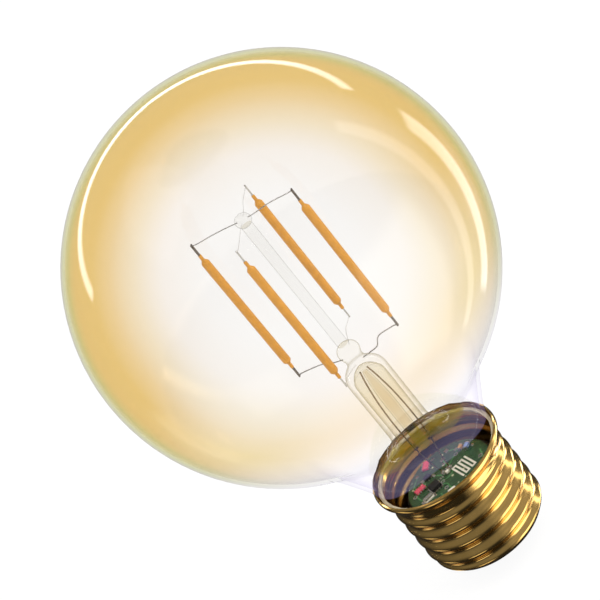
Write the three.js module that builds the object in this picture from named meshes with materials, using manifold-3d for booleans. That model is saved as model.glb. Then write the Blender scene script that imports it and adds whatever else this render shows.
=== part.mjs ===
// Filament-style smart bulb with an E27 screw cap, one named mesh for each physical piece.
// Millimetres, +Z up. The origin is the middle of the centre contact's flat outer face, and the
// bulb's axis runs up +Z from there to the crown of the globe.
import * as THREE from 'three';
import { mergeVertices } from 'three/addons/utils/BufferGeometryUtils.js';
import Module from 'manifold-3d';

const wasm = await Module();
wasm.setup();

// ---- driving dimensions ----------------------------------------------------------------------
const TOTAL_HEIGHT = 118;          // contact face to crown, a G80 globe bulb
const GLOBE_R = 40;
const GLASS_WALL = 0.8;
const NECK_R = 13.4;
const RIM_Z = 26.5;                // top of the cap's rolled lip
const LIP_R = 14.1;
const THREAD_MAJOR_R = 13.05;      // E27: 26.05 to 26.45 over the crests
const THREAD_MINOR_R = 12.15;      // E27: 24.26 to 24.66 over the roots
const THREAD_PITCH = 25.4 / 7;     // E27: seven turns to the inch, right-handed
const SHELL_WALL = 0.35;
const FIT_GAP = 0.3;               // left between pieces that are fused or pressed on the real bulb

const FILAMENT_CIRCLE_R = 11;      // the four filaments stand on this circle
const FILAMENT_FIRST_ANGLE = 157;  // degrees from +X, counter-clockwise seen from the crown
const FILAMENT_R = 0.85;
const FILAMENT_Z = [59.5, 87.3];   // ends of the yellow coating
const PIN_Z = [55.9, 91.1];        // ends of the metal pins
const ROD_R = 1.15;
const BEAD_Z = 90.4;
const STEM_TOP_Z = 57.8;
const STEM_TUBE_R = 4.4;
const FLARE_Z = 29.4;              // underside of the flare at the foot of the stem

const BOARD_R = 9.4;
const BOARD_TOP_Z = 20.4;
const BOARD_THICKNESS = 1;
const SLEEVE_R = 10.3;             // insulating cup that carries the board inside the cap
const CONTACT_R = 4.6;

const GLOBE_Z = TOTAL_HEIGHT - GLOBE_R;
const BOARD_UNDER_Z = BOARD_TOP_Z - BOARD_THICKNESS;

// ---- materials -------------------------------------------------------------------------------
const finishes = {
  amberGlass: [0xe8c27a, 0.05, 0],
  clearGlass: [0xf2f0e8, 0.05, 0],
  brass: [0xc08a3c, 0.2, 1],
  phosphor: [0xd8952f, 0.55, 0],
  darkMetal: [0x5b534a, 0.35, 1],
  paleMetal: [0xb9b6ae, 0.3, 1],
  copper: [0xb8764a, 0.3, 1],
  blackGlass: [0x17171a, 0.25, 0],
  blackPlastic: [0x1b1b1d, 0.5, 0],
  greenBoard: [0x2f6b43, 0.45, 0],
  redLacquer: [0xb81e34, 0.4, 0],
  blueLacquer: [0x3f5aa8, 0.4, 0],
  orangeLacquer: [0xc7843c, 0.4, 0],
  tinned: [0xd9dad6, 0.25, 1],
  whitePlastic: [0xe6e4dc, 0.5, 0],
  cement: [0xd8cfb8, 0.85, 0],
};

const bulb = new THREE.Group();

function addPiece(name, geometry, finish) {
  const [color, roughness, metalness] = finishes[finish];
  const material = new THREE.MeshStandardMaterial({ color, roughness, metalness });
  const mesh = new THREE.Mesh(geometry, material);
  mesh.name = name;
  bulb.add(mesh);
  return mesh;
}

// ---- shape helpers ---------------------------------------------------------------------------
// A profile is a list of [radius, z] pairs, listed up the outside and back down the inside.
function lathe(profile, segments) {
  const points = profile.map(([r, z]) => new THREE.Vector2(r, z));
  const geometry = new THREE.LatheGeometry(points, segments);
  geometry.rotateX(Math.PI / 2);
  return geometry;
}

function closed(profile) {
  return [...profile, profile[0]];
}

// Points of an arc in the profile plane, from one angle to the other, both ends included.
function arc(centreR, centreZ, radius, fromDeg, toDeg, steps) {
  const points = [];
  for (let i = 0; i <= steps; i += 1) {
    const angle = THREE.MathUtils.degToRad(fromDeg + ((toDeg - fromDeg) * i) / steps);
    points.push([centreR + radius * Math.cos(angle), centreZ + radius * Math.sin(angle)]);
  }
  return points;
}

function cylinder(radius, bottomZ, topZ, segments = 16) {
  return lathe([[0, bottomZ], [radius, bottomZ], [radius, topZ], [0, topZ]], segments);
}

function box(width, depth, bottomZ, topZ) {
  const geometry = new THREE.BoxGeometry(width, depth, topZ - bottomZ);
  geometry.translate(0, 0, (bottomZ + topZ) / 2);
  return geometry;
}

// A round wire through the listed points, with flat ends.
function wire(points, radius, steps = 10) {
  const path = new THREE.CatmullRomCurve3(points.map((p) => new THREE.Vector3(...p)));
  path.curveType = 'centripetal';
  const section = new THREE.Shape();
  section.absarc(0, 0, radius, 0, Math.PI * 2);
  return new THREE.ExtrudeGeometry(section, { steps, extrudePath: path, curveSegments: 4 });
}

function polar(radius, degrees, z = 0) {
  const angle = THREE.MathUtils.degToRad(degrees);
  return [radius * Math.cos(angle), radius * Math.sin(angle), z];
}

// ---- booleans --------------------------------------------------------------------------------
function toSolid(geometry) {
  const bare = geometry.clone();
  bare.deleteAttribute('normal');
  bare.deleteAttribute('uv');
  const merged = mergeVertices(bare, 1e-4);
  const vertProperties = new Float32Array(merged.attributes.position.array);
  const triVerts = new Uint32Array(merged.index.array);
  return new wasm.Manifold(new wasm.Mesh({ numProp: 3, vertProperties, triVerts }));
}

function toGeometry(solid) {
  const mesh = solid.getMesh();
  const geometry = new THREE.BufferGeometry();
  geometry.setAttribute('position', new THREE.BufferAttribute(mesh.vertProperties, 3));
  geometry.setIndex(new THREE.BufferAttribute(mesh.triVerts, 1));
  geometry.computeVertexNormals();
  return geometry;
}

// ---- glass envelope --------------------------------------------------------------------------
// The outer line runs from the neck's end, which sits in the cap's flared lip, up the neck's cone
// and round the globe. The inner line is the same line moved in, square to it.
const NECK_END_Z = 25.5;
const GLOBE_START_DEG = 51.5;      // below the globe's equator, where the neck joins it
const GLOBE_STEPS = 17;
const neckLine = [
  [NECK_R, NECK_END_Z],
  [NECK_R, 27.6],
  [13.75, 29.4],
  [14.75, 31.9],
  [16.3, 35.1],
  [18.15, 38.8],
  [20.1, 42.1],
  [22.3, 44.3],
];

function envelopeLine(inset) {
  const globe = arc(0, GLOBE_Z, GLOBE_R - inset, -GLOBE_START_DEG, 90, GLOBE_STEPS);
  const outer = [...neckLine, arc(0, GLOBE_Z, GLOBE_R, -GLOBE_START_DEG, 90, GLOBE_STEPS)[0]];
  const neck = neckLine.map(([r, z], i) => {
    const before = outer[Math.max(i - 1, 0)];
    const after = outer[i + 1];
    const length = Math.hypot(after[0] - before[0], after[1] - before[1]);
    const normal = [(after[1] - before[1]) / length, (before[0] - after[0]) / length];
    return [r - normal[0] * inset, z - normal[1] * inset];
  });
  return [...neck, ...globe.slice(0, -1), [0, GLOBE_Z + GLOBE_R - inset]];
}

const ENVELOPE_SEGMENTS = 40;
const envelopeProfile = [...envelopeLine(0), ...envelopeLine(GLASS_WALL).reverse()];

// ---- screw shell -----------------------------------------------------------------------------
// The shell is one thin sheet. Its outer and inner lines carry the same rounded thread.
const BAND_R = 12.75;              // smooth band between the lip and the first turn
const THREAD_TOP_Z = 22.6;
const THREAD_BOTTOM_Z = 6.2;
const THREAD_FADE = 1.4;           // length over which the thread runs out at each end
const ROWS_PER_TURN = 6;
const SHELL_SEGMENTS = 32;

function threadHeight(angle, z) {
  const fadeIn = THREE.MathUtils.smoothstep(z, THREAD_BOTTOM_Z, THREAD_BOTTOM_Z + THREAD_FADE);
  const fadeOut = 1 - THREE.MathUtils.smoothstep(z, THREAD_TOP_Z - THREAD_FADE, THREAD_TOP_Z);
  const wave = Math.cos((2 * Math.PI * z) / THREAD_PITCH - angle);
  return ((THREAD_MAJOR_R - THREAD_MINOR_R) / 2) * wave * fadeIn * fadeOut;
}

function shellLine(inset) {
  const meanR = (THREAD_MAJOR_R + THREAD_MINOR_R) / 2 - inset;
  const line = [
    [9.9, 4.6 + inset],
    [10.9 - inset * 0.4, 4.9 + inset],
    [11.9 - inset * 0.8, 5.6 + inset * 0.6],
    [12.4 - inset, THREAD_BOTTOM_Z + inset * 0.3],
  ];
  const rows = Math.round(((THREAD_TOP_Z - THREAD_BOTTOM_Z) / THREAD_PITCH) * ROWS_PER_TURN);
  for (let i = 1; i < rows; i += 1) {
    line.push([meanR, THREAD_BOTTOM_Z + ((THREAD_TOP_Z - THREAD_BOTTOM_Z) * i) / rows]);
  }
  line.push(
    [BAND_R - inset, THREAD_TOP_Z + 0.3],
    [BAND_R + 0.05 - inset, RIM_Z - 3.1],
    [13.35 - inset, RIM_Z - 1.9],
    [LIP_R - inset, RIM_Z - 0.9],
    [LIP_R - 0.1 - inset * 0.8, RIM_Z - 0.3],
    [LIP_R - 0.35 - inset * 0.4, RIM_Z],
  );
  return line;
}

function screwShell() {
  const profile = [...shellLine(0), ...shellLine(SHELL_WALL).reverse()];
  const geometry = lathe(closed(profile), SHELL_SEGMENTS);
  const position = geometry.attributes.position;
  for (let i = 0; i < position.count; i += 1) {
    const z = position.getZ(i);
    const radius = Math.hypot(position.getX(i), position.getY(i));
    const angle = Math.atan2(position.getY(i), position.getX(i));
    const scale = (radius + threadHeight(angle, z)) / radius;
    position.setX(i, position.getX(i) * scale);
    position.setY(i, position.getY(i) * scale);
  }
  return geometry;
}

// ---- cap: insulator, contact, cement, sleeve ---------------------------------------------------
const CONTACT_FACE_R = 3.2;
const CONTACT_RIM_Z = 0.9;
const INSULATOR_Z = 1;
const WIRE_HOLE_R = 1.4;
const SLEEVE_FLOOR_Z = 6.9;
const SLEEVE_HOLE_R = 2.4;
const SLEEVE_WALL = 0.9;

const contactProfile = [
  [0, 0],
  [CONTACT_FACE_R, 0],
  [CONTACT_R - 0.4, 0.35],
  [CONTACT_R, CONTACT_RIM_Z],
  [CONTACT_R - 0.5, CONTACT_RIM_Z],
  [CONTACT_FACE_R, 0.5],
  [0, 0.5],
];

const insulatorProfile = closed([
  [WIRE_HOLE_R, INSULATOR_Z],
  [CONTACT_R + 0.3, INSULATOR_Z],
  [CONTACT_R + 0.9, INSULATOR_Z + 0.4],
  [8.9, 3.6],
  [9.3, 4.3],
  [9.5, 5.3],
  [10.5, 5.55],
  [10.7, 6.2],
  [WIRE_HOLE_R, 6.2],
]);

const sleeveProfile = closed([
  [SLEEVE_HOLE_R, SLEEVE_FLOOR_Z],
  [SLEEVE_R - 0.5, SLEEVE_FLOOR_Z],
  [SLEEVE_R, SLEEVE_FLOOR_Z + 0.6],
  [SLEEVE_R, BOARD_UNDER_Z - 0.05],
  [BOARD_R - SLEEVE_WALL, BOARD_UNDER_Z - 0.05],
  [SLEEVE_R - SLEEVE_WALL - 0.6, BOARD_UNDER_Z - 1.5],
  [SLEEVE_R - SLEEVE_WALL - 0.6, SLEEVE_FLOOR_Z + SLEEVE_WALL],
  [SLEEVE_HOLE_R, SLEEVE_FLOOR_Z + SLEEVE_WALL],
]);

// A ring of cement just below the neck's end.
const cementProfile = closed([
  [NECK_R - GLASS_WALL, NECK_END_Z - 0.6],
  [NECK_R - 0.35, NECK_END_Z - 0.6],
  [NECK_R - 0.1, NECK_END_Z - 0.3],
  [NECK_R - 0.05, NECK_END_Z - 0.08],
  [NECK_R - GLASS_WALL, NECK_END_Z - 0.08],
]);

// ---- stem --------------------------------------------------------------------------------------
const STEM_BORE_R = 3.4;
const STEM_BORE_TOP_Z = 51.8;
const FLARE_R = NECK_R - GLASS_WALL - FIT_GAP;

const stemProfile = [
  [0, STEM_BORE_TOP_Z],
  [1.6, STEM_BORE_TOP_Z - 0.6],
  [STEM_BORE_R - 0.5, STEM_BORE_TOP_Z - 1.9],
  [STEM_BORE_R, STEM_BORE_TOP_Z - 4],
  [STEM_BORE_R, 34.6],
  [3.7, 32.9],
  [4.9, 31.2],
  [7.4, FLARE_Z + 0.3],
  [FLARE_R - 0.4, FLARE_Z],
  [FLARE_R, FLARE_Z + 0.5],
  [FLARE_R - 0.1, FLARE_Z + 0.9],
  [7.7, FLARE_Z + 1.1],
  [5.7, 32.1],
  [4.7, 33.4],
  [STEM_TUBE_R, 35],
  [STEM_TUBE_R, 49.2],
  [4.3, 50.3],
  [3.95, 51.2],
  [3.2, 52],
  [2.4, 52.7],
  [1.95, 53.5],
  [1.85, 54.2],
  [2.1, 55],
  [2.35, 55.8],
  [2.25, 56.6],
  [1.7, 57.3],
  [1.2, STEM_TOP_Z],
  [0, STEM_TOP_Z],
];

// The exhaust tube hangs inside the stem and is tipped off below the flare.
const EXHAUST_R = 1.2;
const EXHAUST_TIP_Z = 23;
const EXHAUST_TOP_Z = 50.2;
const exhaustProfile = [
  [0, EXHAUST_TIP_Z],
  [0.7, EXHAUST_TIP_Z + 0.7],
  [EXHAUST_R, EXHAUST_TIP_Z + 2.4],
  [EXHAUST_R, EXHAUST_TOP_Z - 6],
  [0.6, EXHAUST_TOP_Z],
  [0.25, EXHAUST_TOP_Z],
  [EXHAUST_R - 0.4, EXHAUST_TOP_Z - 6.2],
  [EXHAUST_R - 0.4, EXHAUST_TIP_Z + 3.2],
  [0, EXHAUST_TIP_Z + 2],
];

const beadProfile = [
  [0, BEAD_Z - 1.2],
  [1.2, BEAD_Z - 1.1],
  [1.7, BEAD_Z - 0.4],
  [1.75, BEAD_Z + 0.4],
  [1.2, BEAD_Z + 1.2],
  [0, BEAD_Z + 1.5],
];

// ---- filaments ---------------------------------------------------------------------------------
// Filaments are numbered round the circle: 1 and 3 carry thick pins and anchor wires, 2 and 4
// carry thin pins.
const PIN_SIZES = { thick: [0.75, 0.3], thin: [0.4, 0.2] };
const PIN_GAP = 0.02;              // between a coating's end and its pin
const COAT_END_R = 0.45;
const COAT_TAPER = 1.3;            // length of the narrowing at each end of the coating

function filamentProfile() {
  const [low, high] = FILAMENT_Z;
  return [
    [0, low],
    [COAT_END_R, low],
    [FILAMENT_R, low + COAT_TAPER],
    [FILAMENT_R, high - COAT_TAPER],
    [COAT_END_R, high],
    [0, high],
  ];
}

function addFilaments() {
  for (let i = 0; i < 4; i += 1) {
    const name = `led_filament_${i + 1}`;
    const thick = i % 2 === 0;
    const angle = FILAMENT_FIRST_ANGLE + 90 * i;
    const [x, y] = polar(FILAMENT_CIRCLE_R, angle);
    const [width, depth] = thick ? PIN_SIZES.thick : PIN_SIZES.thin;
    const finish = thick ? 'darkMetal' : 'paleMetal';
    const ends = {
      bottom: [PIN_Z[0], FILAMENT_Z[0] - PIN_GAP],
      top: [FILAMENT_Z[1] + PIN_GAP, PIN_Z[1]],
    };
    addPiece(name, lathe(filamentProfile(), 12), 'phosphor').position.set(x, y, 0);
    for (const [end, [low, high]] of Object.entries(ends)) {
      const pin = addPiece(`${name}_${end}_pin`, box(width, depth, low, high), finish);
      pin.position.set(x, y, 0);
      pin.rotation.z = THREE.MathUtils.degToRad(angle + 90);
    }
  }
}

// ---- wires -------------------------------------------------------------------------------------
const ANCHOR_WIRE_R = 0.12;
const FINE_WIRE_R = 0.07;
const LEAD_WIRE_R = 0.14;
const BOARD_LEAD_R = 0.16;
const WELD_INSET = 0.2;            // from the filaments' circle in to a pin's face
const WELD_REACH = 0.5;            // length of a wire's end that lies along its pin

// The wires are spot-welded to the pins' inner faces, so each stops just short of its pin.
const weldR = FILAMENT_CIRCLE_R - WELD_INSET;
const filamentAngle = (number) => FILAMENT_FIRST_ANGLE + 90 * (number - 1);

function addAnchorWires() {
  for (const number of [1, 2, 3, 4]) {
    const thick = number % 2 === 1;
    const angle = filamentAngle(number);
    const radius = thick ? ANCHOR_WIRE_R : FINE_WIRE_R;
    const route = [
      polar(weldR - radius, angle, PIN_Z[1] - WELD_REACH),
      polar(6, angle, BEAD_Z + 0.35),
      polar(1.95 + radius, angle, BEAD_Z),
    ];
    addPiece(`anchor_wire_${number}`, wire(route, radius, 6), thick ? 'darkMetal' : 'paleMetal');
  }
}

function addInnerLeads() {
  const start = (number, r) => polar(weldR - r, filamentAngle(number), PIN_Z[0] + WELD_REACH);
  const routes = {
    1: [start(1, LEAD_WIRE_R), polar(6, 160, 56.2), polar(2.75, 165, 54.9)],
    2: [start(2, FINE_WIRE_R), polar(6, 247, 55.2), polar(2.1, 247, 53.3)],
    3: [start(3, LEAD_WIRE_R), polar(6.6, 338, 55.8), polar(5, 342, 53.8), polar(2.1, 345, 53.1)],
    4: [start(4, FINE_WIRE_R), polar(5.2, 66, 57.2), polar(2.7, 62, 56)],
  };
  for (const [number, route] of Object.entries(routes)) {
    const radius = number % 2 === 1 ? LEAD_WIRE_R : FINE_WIRE_R;
    addPiece(`inner_lead_${number}`, wire(route, radius, 10), 'paleMetal');
  }
}

function addOuterLeads() {
  for (const [number, side] of [[1, -1], [2, 1]]) {
    const route = [
      [side * 0.85, 0, 50.6],
      [side * 1.4, 0, 47.5],
      [side * 1.95, 0, 42],
      [side * 2.1, 0, 35],
      [side * 1.8, 0.6, 28],
      [side * 0.8 + 0.3, 2.2, BOARD_TOP_Z + 0.05],
    ];
    addPiece(`outer_lead_${number}`, wire(route, BOARD_LEAD_R, 16), 'copper');
  }
}

// ---- driver board and its components -------------------------------------------------------------
function addBoard() {
  addPiece('driver_board', cylinder(BOARD_R, BOARD_UNDER_Z, BOARD_TOP_Z, 40), 'greenBoard');
}

// A small part standing on the board's upper face.
function addChip(name, finish, [x, y], [width, depth, height], turnDeg = 0) {
  const chip = addPiece(name, box(width, depth, BOARD_TOP_Z, BOARD_TOP_Z + height), finish);
  chip.position.set(x, y, 0);
  chip.rotation.z = THREE.MathUtils.degToRad(turnDeg);
  return chip;
}

// The printed antenna folds back and forth in five parallel bars joined end to end.
const ANTENNA_BARS = 5;
const ANTENNA_PITCH = 0.85;
const ANTENNA_BAR_LENGTH = 4.6;
const ANTENNA_BAR_WIDTH = 0.42;
const ANTENNA_CENTRE = [3.4, -0.9];
const ANTENNA_TURN = 12;
const ANTENNA_HEIGHT = 0.08;

function antennaGeometry() {
  const topZ = BOARD_TOP_Z + ANTENNA_HEIGHT;
  const bars = [];
  for (let i = 0; i < ANTENNA_BARS; i += 1) {
    const x = (i - (ANTENNA_BARS - 1) / 2) * ANTENNA_PITCH;
    const bar = box(ANTENNA_BAR_WIDTH, ANTENNA_BAR_LENGTH, BOARD_TOP_Z, topZ);
    bars.push(toSolid(bar.translate(x, 0, 0)));
    if (i > 0) {
      const end = (i % 2 === 0 ? 1 : -1) * (ANTENNA_BAR_LENGTH - ANTENNA_BAR_WIDTH) / 2;
      const link = box(ANTENNA_PITCH, ANTENNA_BAR_WIDTH, BOARD_TOP_Z, topZ);
      bars.push(toSolid(link.translate(x - ANTENNA_PITCH / 2, end, 0)));
    }
  }
  return toGeometry(bars.reduce((joined, bar) => joined.add(bar)));
}

const LEG_REACH = 0.45;            // from the body's side out to a leg's end
const LEG_HEIGHT = 0.25;
const BODY_LIFT = 0.1;

// A row of rectangular legs along both sides of a chip body, joined to it as one solid.
function leggedChip(width, depth, height, legs) {
  let solid = toSolid(box(width, depth, BOARD_TOP_Z + BODY_LIFT, BOARD_TOP_Z + height));
  for (let i = 0; i < legs; i += 1) {
    const x = (i - (legs - 1) / 2) * (width / legs);
    const leg = box(width / legs / 2, depth + 2 * LEG_REACH, BOARD_TOP_Z, BOARD_TOP_Z + LEG_HEIGHT);
    solid = solid.add(toSolid(leg.translate(x, 0, 0)));
  }
  return toGeometry(solid);
}

function addTopSideParts() {
  const controller = addPiece('controller_ic', leggedChip(2.4, 2.2, 0.9, 4), 'blackPlastic');
  controller.position.set(-3.5, -0.5, 0);
  controller.rotation.z = THREE.MathUtils.degToRad(8);
  for (const [number, x, y, turn] of [[1, -2.4, 7.2, 60], [2, -6.2, 1.9, 12]]) {
    const pack = addPiece(`resistor_pack_${number}`, leggedChip(2.4, 1.5, 0.6, 4), 'redLacquer');
    pack.position.set(x, y, 0);
    pack.rotation.z = THREE.MathUtils.degToRad(turn);
  }
  const antenna = addPiece('printed_antenna', antennaGeometry(), 'tinned');
  antenna.position.set(ANTENNA_CENTRE[0], ANTENNA_CENTRE[1], 0);
  antenna.rotation.z = THREE.MathUtils.degToRad(ANTENNA_TURN);
  addChip('chip_capacitor_1', 'blueLacquer', [6.3, 3.6], [1.7, 0.9, 0.8], 40);
  addChip('chip_capacitor_2', 'orangeLacquer', [5.2, 4.7], [1.5, 0.8, 0.7], 40);
  addChip('matching_inductor', 'whitePlastic', [0.2, 0.9], [1.3, 0.7, 0.6], 12);
  addChip('switch_transistor', 'blackPlastic', [-3.6, 3.6], [1.5, 1.1, 0.8], 25);
  addChip('timing_crystal', 'tinned', [-5.9, -2.2], [2.2, 1.4, 0.7], 10);
  addChip('band_filter', 'whitePlastic', [-1.3, -5.2], [1.8, 1.2, 0.5], 0);
}

const FUSE_PLACE = [2.8, -5.4];
const FUSE_Z = [9.2, 16.4];
const LEAD_R = 0.3;
const SHELL_LEAD_R = 0.25;
const SHELL_LEAD_ANGLE = 262;
const SOLDER_Z = [0.55, 1.15];

// Parts hanging from the board's underside, inside the insulating cup.
function addUnderSideParts() {
  const top = BOARD_UNDER_Z - 0.1;
  const capacitor = addPiece('bulk_capacitor', cylinder(3.6, top - 10.4, top, 20), 'blackPlastic');
  capacitor.position.set(3.6, 2.6, 0);
  const choke = addPiece('choke_coil', cylinder(2.3, top - 7, top, 16), 'copper');
  choke.position.set(-4.9, 2.8, 0);
  const rectifier = addPiece('bridge_rectifier', box(4.2, 3.6, top - 1.7, top), 'blackPlastic');
  rectifier.position.set(-3.8, -3.4, 0);
  const fuse = addPiece('fuse_resistor', cylinder(1.1, ...FUSE_Z, 12), 'greenBoard');
  fuse.position.set(...FUSE_PLACE, 0);
  const fuseRoute = [[...FUSE_PLACE, FUSE_Z[1] + 0.1], [...FUSE_PLACE, top]];
  addPiece('fuse_lead', wire(fuseRoute, LEAD_R, 1), 'tinned');
  const contactRoute = [
    [...FUSE_PLACE, FUSE_Z[0] - 0.1],
    [2.6, -4.9, 8.45],
    [1, -1.9, 8.2],
    [0.1, -0.2, 7],
    [0, 0, 5],
    [0, 0, 1.2],
  ];
  addPiece('contact_lead', wire(contactRoute, LEAD_R, 16), 'tinned');
  addPiece('contact_solder', cylinder(0.9, ...SOLDER_Z, 10), 'tinned');
  const shellRoute = [
    polar(BOARD_R - 0.8, SHELL_LEAD_ANGLE, BOARD_TOP_Z + 0.05),
    polar(BOARD_R - 0.2, SHELL_LEAD_ANGLE, BOARD_TOP_Z + 0.9),
    polar(10.9, SHELL_LEAD_ANGLE, BOARD_TOP_Z + 1),
  ];
  addPiece('shell_lead', wire(shellRoute, SHELL_LEAD_R, 8), 'tinned');
}

// ---- assembly ------------------------------------------------------------------------------------
addPiece('glass_envelope', lathe(closed(envelopeProfile), ENVELOPE_SEGMENTS), 'amberGlass');
addPiece('stem', lathe(stemProfile, 24), 'clearGlass');
addPiece('exhaust_tube', lathe(exhaustProfile, 12), 'clearGlass');
addPiece('support_rod', cylinder(ROD_R, STEM_TOP_Z + 0.05, BEAD_Z - 1.25, 12), 'clearGlass');
addPiece('rod_bead', lathe(beadProfile, 14), 'clearGlass');
addFilaments();
addAnchorWires();
addInnerLeads();
addOuterLeads();
addPiece('screw_shell', screwShell(), 'brass');
addPiece('centre_contact', lathe(contactProfile, 24), 'brass');
addPiece('insulator', lathe(insulatorProfile, 32), 'blackGlass');
addPiece('insulating_cup', lathe(sleeveProfile, 28), 'blackPlastic');
addPiece('cap_cement', lathe(cementProfile, ENVELOPE_SEGMENTS), 'cement');
addBoard();
addTopSideParts();
addUnderSideParts();

export default bulb;
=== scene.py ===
"""Looks of a globe-shaped LED filament bulb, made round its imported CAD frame.

The CAD frame is loaded first. One operator makes each group of pieces, in metres and in the frame's
own axes: +Z runs from the centre contact to the crown. Each new piece stands for the CAD nodes that
it replaces. The last operator sets the floor, the lights and the camera.
"""
import math

import bpy
import numpy as np
from bpy.props import FloatProperty, FloatVectorProperty, IntProperty, PointerProperty
from bpy.types import Operator, Panel, PropertyGroup
from mathutils import Matrix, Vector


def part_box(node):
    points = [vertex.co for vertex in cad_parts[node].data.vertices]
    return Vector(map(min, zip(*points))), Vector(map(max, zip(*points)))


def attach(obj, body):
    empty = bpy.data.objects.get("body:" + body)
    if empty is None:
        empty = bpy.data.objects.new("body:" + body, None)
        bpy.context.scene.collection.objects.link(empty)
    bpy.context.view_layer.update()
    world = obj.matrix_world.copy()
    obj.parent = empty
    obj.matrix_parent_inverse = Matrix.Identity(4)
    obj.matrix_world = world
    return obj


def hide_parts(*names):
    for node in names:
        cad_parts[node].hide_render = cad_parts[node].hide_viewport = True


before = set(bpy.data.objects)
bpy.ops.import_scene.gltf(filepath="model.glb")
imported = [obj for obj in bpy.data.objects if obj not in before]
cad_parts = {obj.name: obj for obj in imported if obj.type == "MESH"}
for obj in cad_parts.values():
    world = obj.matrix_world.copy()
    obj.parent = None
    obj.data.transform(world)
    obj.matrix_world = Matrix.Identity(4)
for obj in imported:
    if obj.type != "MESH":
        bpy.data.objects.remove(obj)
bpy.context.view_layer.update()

bl_info = {
    "name": "Filament Bulb Pieces",
    "version": (1, 0, 0),
    "blender": (4, 5, 0),
    "location": "3D View > Sidebar > Filament Bulb",
    "description": "Makes the glass, filaments, board and screw cap of a filament bulb",
    "category": "Add Mesh",
}

MM = 0.001
TURN = 2 * math.pi
BODY = "root"


# ---- places read from the frame ----------------------------------------------------------------
def low(node):
    """A CAD node's lowest corner."""
    return np.array(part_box(node)[0])


def high(node):
    """A CAD node's highest corner."""
    return np.array(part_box(node)[1])


def middle(node):
    """The middle of a CAD node's box."""
    return (low(node) + high(node)) / 2


GLOBE_R = float(high("glass_envelope")[0])
CROWN_Z = float(high("glass_envelope")[2])
GLOBE_Z = CROWN_Z - GLOBE_R
NECK_END_Z = float(low("glass_envelope")[2])
BOARD_TOP_Z = float(high("driver_board")[2])
BOARD_R = float(high("driver_board")[0])
BEAD_Z = float(low("rod_bead")[2]) + 1.2 * MM
ROD_R = float(high("support_rod")[0])
STEM_TOP_Z = float(high("stem")[2])
FLARE_Z = float(low("stem")[2])
FILAMENTS = (1, 2, 3, 4)


# ---- settings ----------------------------------------------------------------------------------
class GlassSettings(PropertyGroup):
    """Sizes and tints of the glass, and the colour of its painted reflection glow."""

    neck_radius: FloatProperty(
        name="Neck Radius",
        description="Outer radius of the neck just above the cap",
        default=13.4 * MM,
        unit="LENGTH",
    )
    wall: FloatProperty(
        name="Wall",
        description="Thickness of the blown glass",
        default=0.8 * MM,
        unit="LENGTH",
    )
    film_colour: FloatVectorProperty(
        name="Film Colour",
        description="Tint of the amber film where it is strongest",
        default=(0.80, 0.55, 0.19),
        subtype="COLOR",
        size=3,
    )
    rim_colour: FloatVectorProperty(
        name="Rim Colour",
        description="Tint of the film seen edge-on",
        default=(0.62, 0.60, 0.24),
        subtype="COLOR",
        size=3,
    )
    # Painted reflection: a faint lilac that the film glass emits, standing in for what its film
    # mirrors over dark things.
    painted_reflection_colour: FloatVectorProperty(
        name="Painted Reflection Colour",
        description="Faint light that the film sends back over dark things",
        default=(0.064, 0.057, 0.106),
        subtype="COLOR",
        size=3,
    )
    ior: FloatProperty(
        name="IOR",
        description="Refractive index, close to air because blown glass this thin bends little",
        default=1.001,
        min=1.0,
        max=2.0,
    )


class FilamentSettings(PropertyGroup):
    """Sizes and colours of the filaments and their wires."""

    coat_radius: FloatProperty(
        name="Coat Radius",
        description="Radius of a filament's coat",
        default=0.85 * MM,
        unit="LENGTH",
    )
    coat_colour: FloatVectorProperty(
        name="Coat Colour",
        description="Colour of the unlit phosphor coat",
        default=(0.70, 0.315, 0.018),
        subtype="COLOR",
        size=3,
    )


class CapSettings(PropertyGroup):
    """Sizes and finish of the screw cap."""

    thread_pitch: FloatProperty(
        name="Thread Pitch",
        description="Height of one turn of the thread",
        default=25.4 / 7 * MM,
        unit="LENGTH",
    )
    crest_radius: FloatProperty(
        name="Crest Radius",
        description="Outer radius over the thread's crests",
        default=13.05 * MM,
        unit="LENGTH",
    )
    root_radius: FloatProperty(
        name="Root Radius",
        description="Outer radius in the thread's roots",
        default=12.15 * MM,
        unit="LENGTH",
    )
    sheet: FloatProperty(
        name="Sheet",
        description="Thickness of the brass sheet",
        default=0.35 * MM,
        unit="LENGTH",
    )
    brass_colour: FloatVectorProperty(
        name="Brass Colour",
        description="Colour of the polished brass",
        default=(0.82, 0.53, 0.17),
        subtype="COLOR",
        size=3,
    )
    brass_roughness: FloatProperty(
        name="Brass Roughness",
        description="Roughness of the polished brass",
        default=0.16,
        min=0.0,
        max=1.0,
        subtype="FACTOR",
    )


class BoardSettings(PropertyGroup):
    """Colours of the driver board."""

    mask_colour: FloatVectorProperty(
        name="Mask Colour",
        description="Colour of the board's solder mask",
        default=(0.022, 0.070, 0.028),
        subtype="COLOR",
        size=3,
    )
    antenna_bars: IntProperty(
        name="Antenna Bars",
        description="Number of parallel bars in the printed antenna",
        default=5,
        min=2,
        max=9,
    )


class StageSettings(PropertyGroup):
    """Camera and light."""

    camera_distance: FloatProperty(
        name="Camera Distance",
        description="From the middle of the globe to the camera",
        default=0.364,
        unit="LENGTH",
    )
    camera_elevation: FloatProperty(
        name="Camera Elevation",
        description="How far the camera looks down on the bulb",
        default=math.radians(25.9),
        subtype="ANGLE",
    )
    camera_roll: FloatProperty(
        name="Camera Roll",
        description="How far the camera is turned clockwise about its own line of sight",
        default=math.radians(39.0),
        subtype="ANGLE",
    )
    camera_lens: FloatProperty(
        name="Camera Lens",
        description="Focal length in millimetres on a 36 mm sensor",
        default=120.0,
    )
    white: FloatProperty(
        name="White",
        description="Brightness of the white surroundings",
        default=1.0,
        min=0.0,
    )


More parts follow.
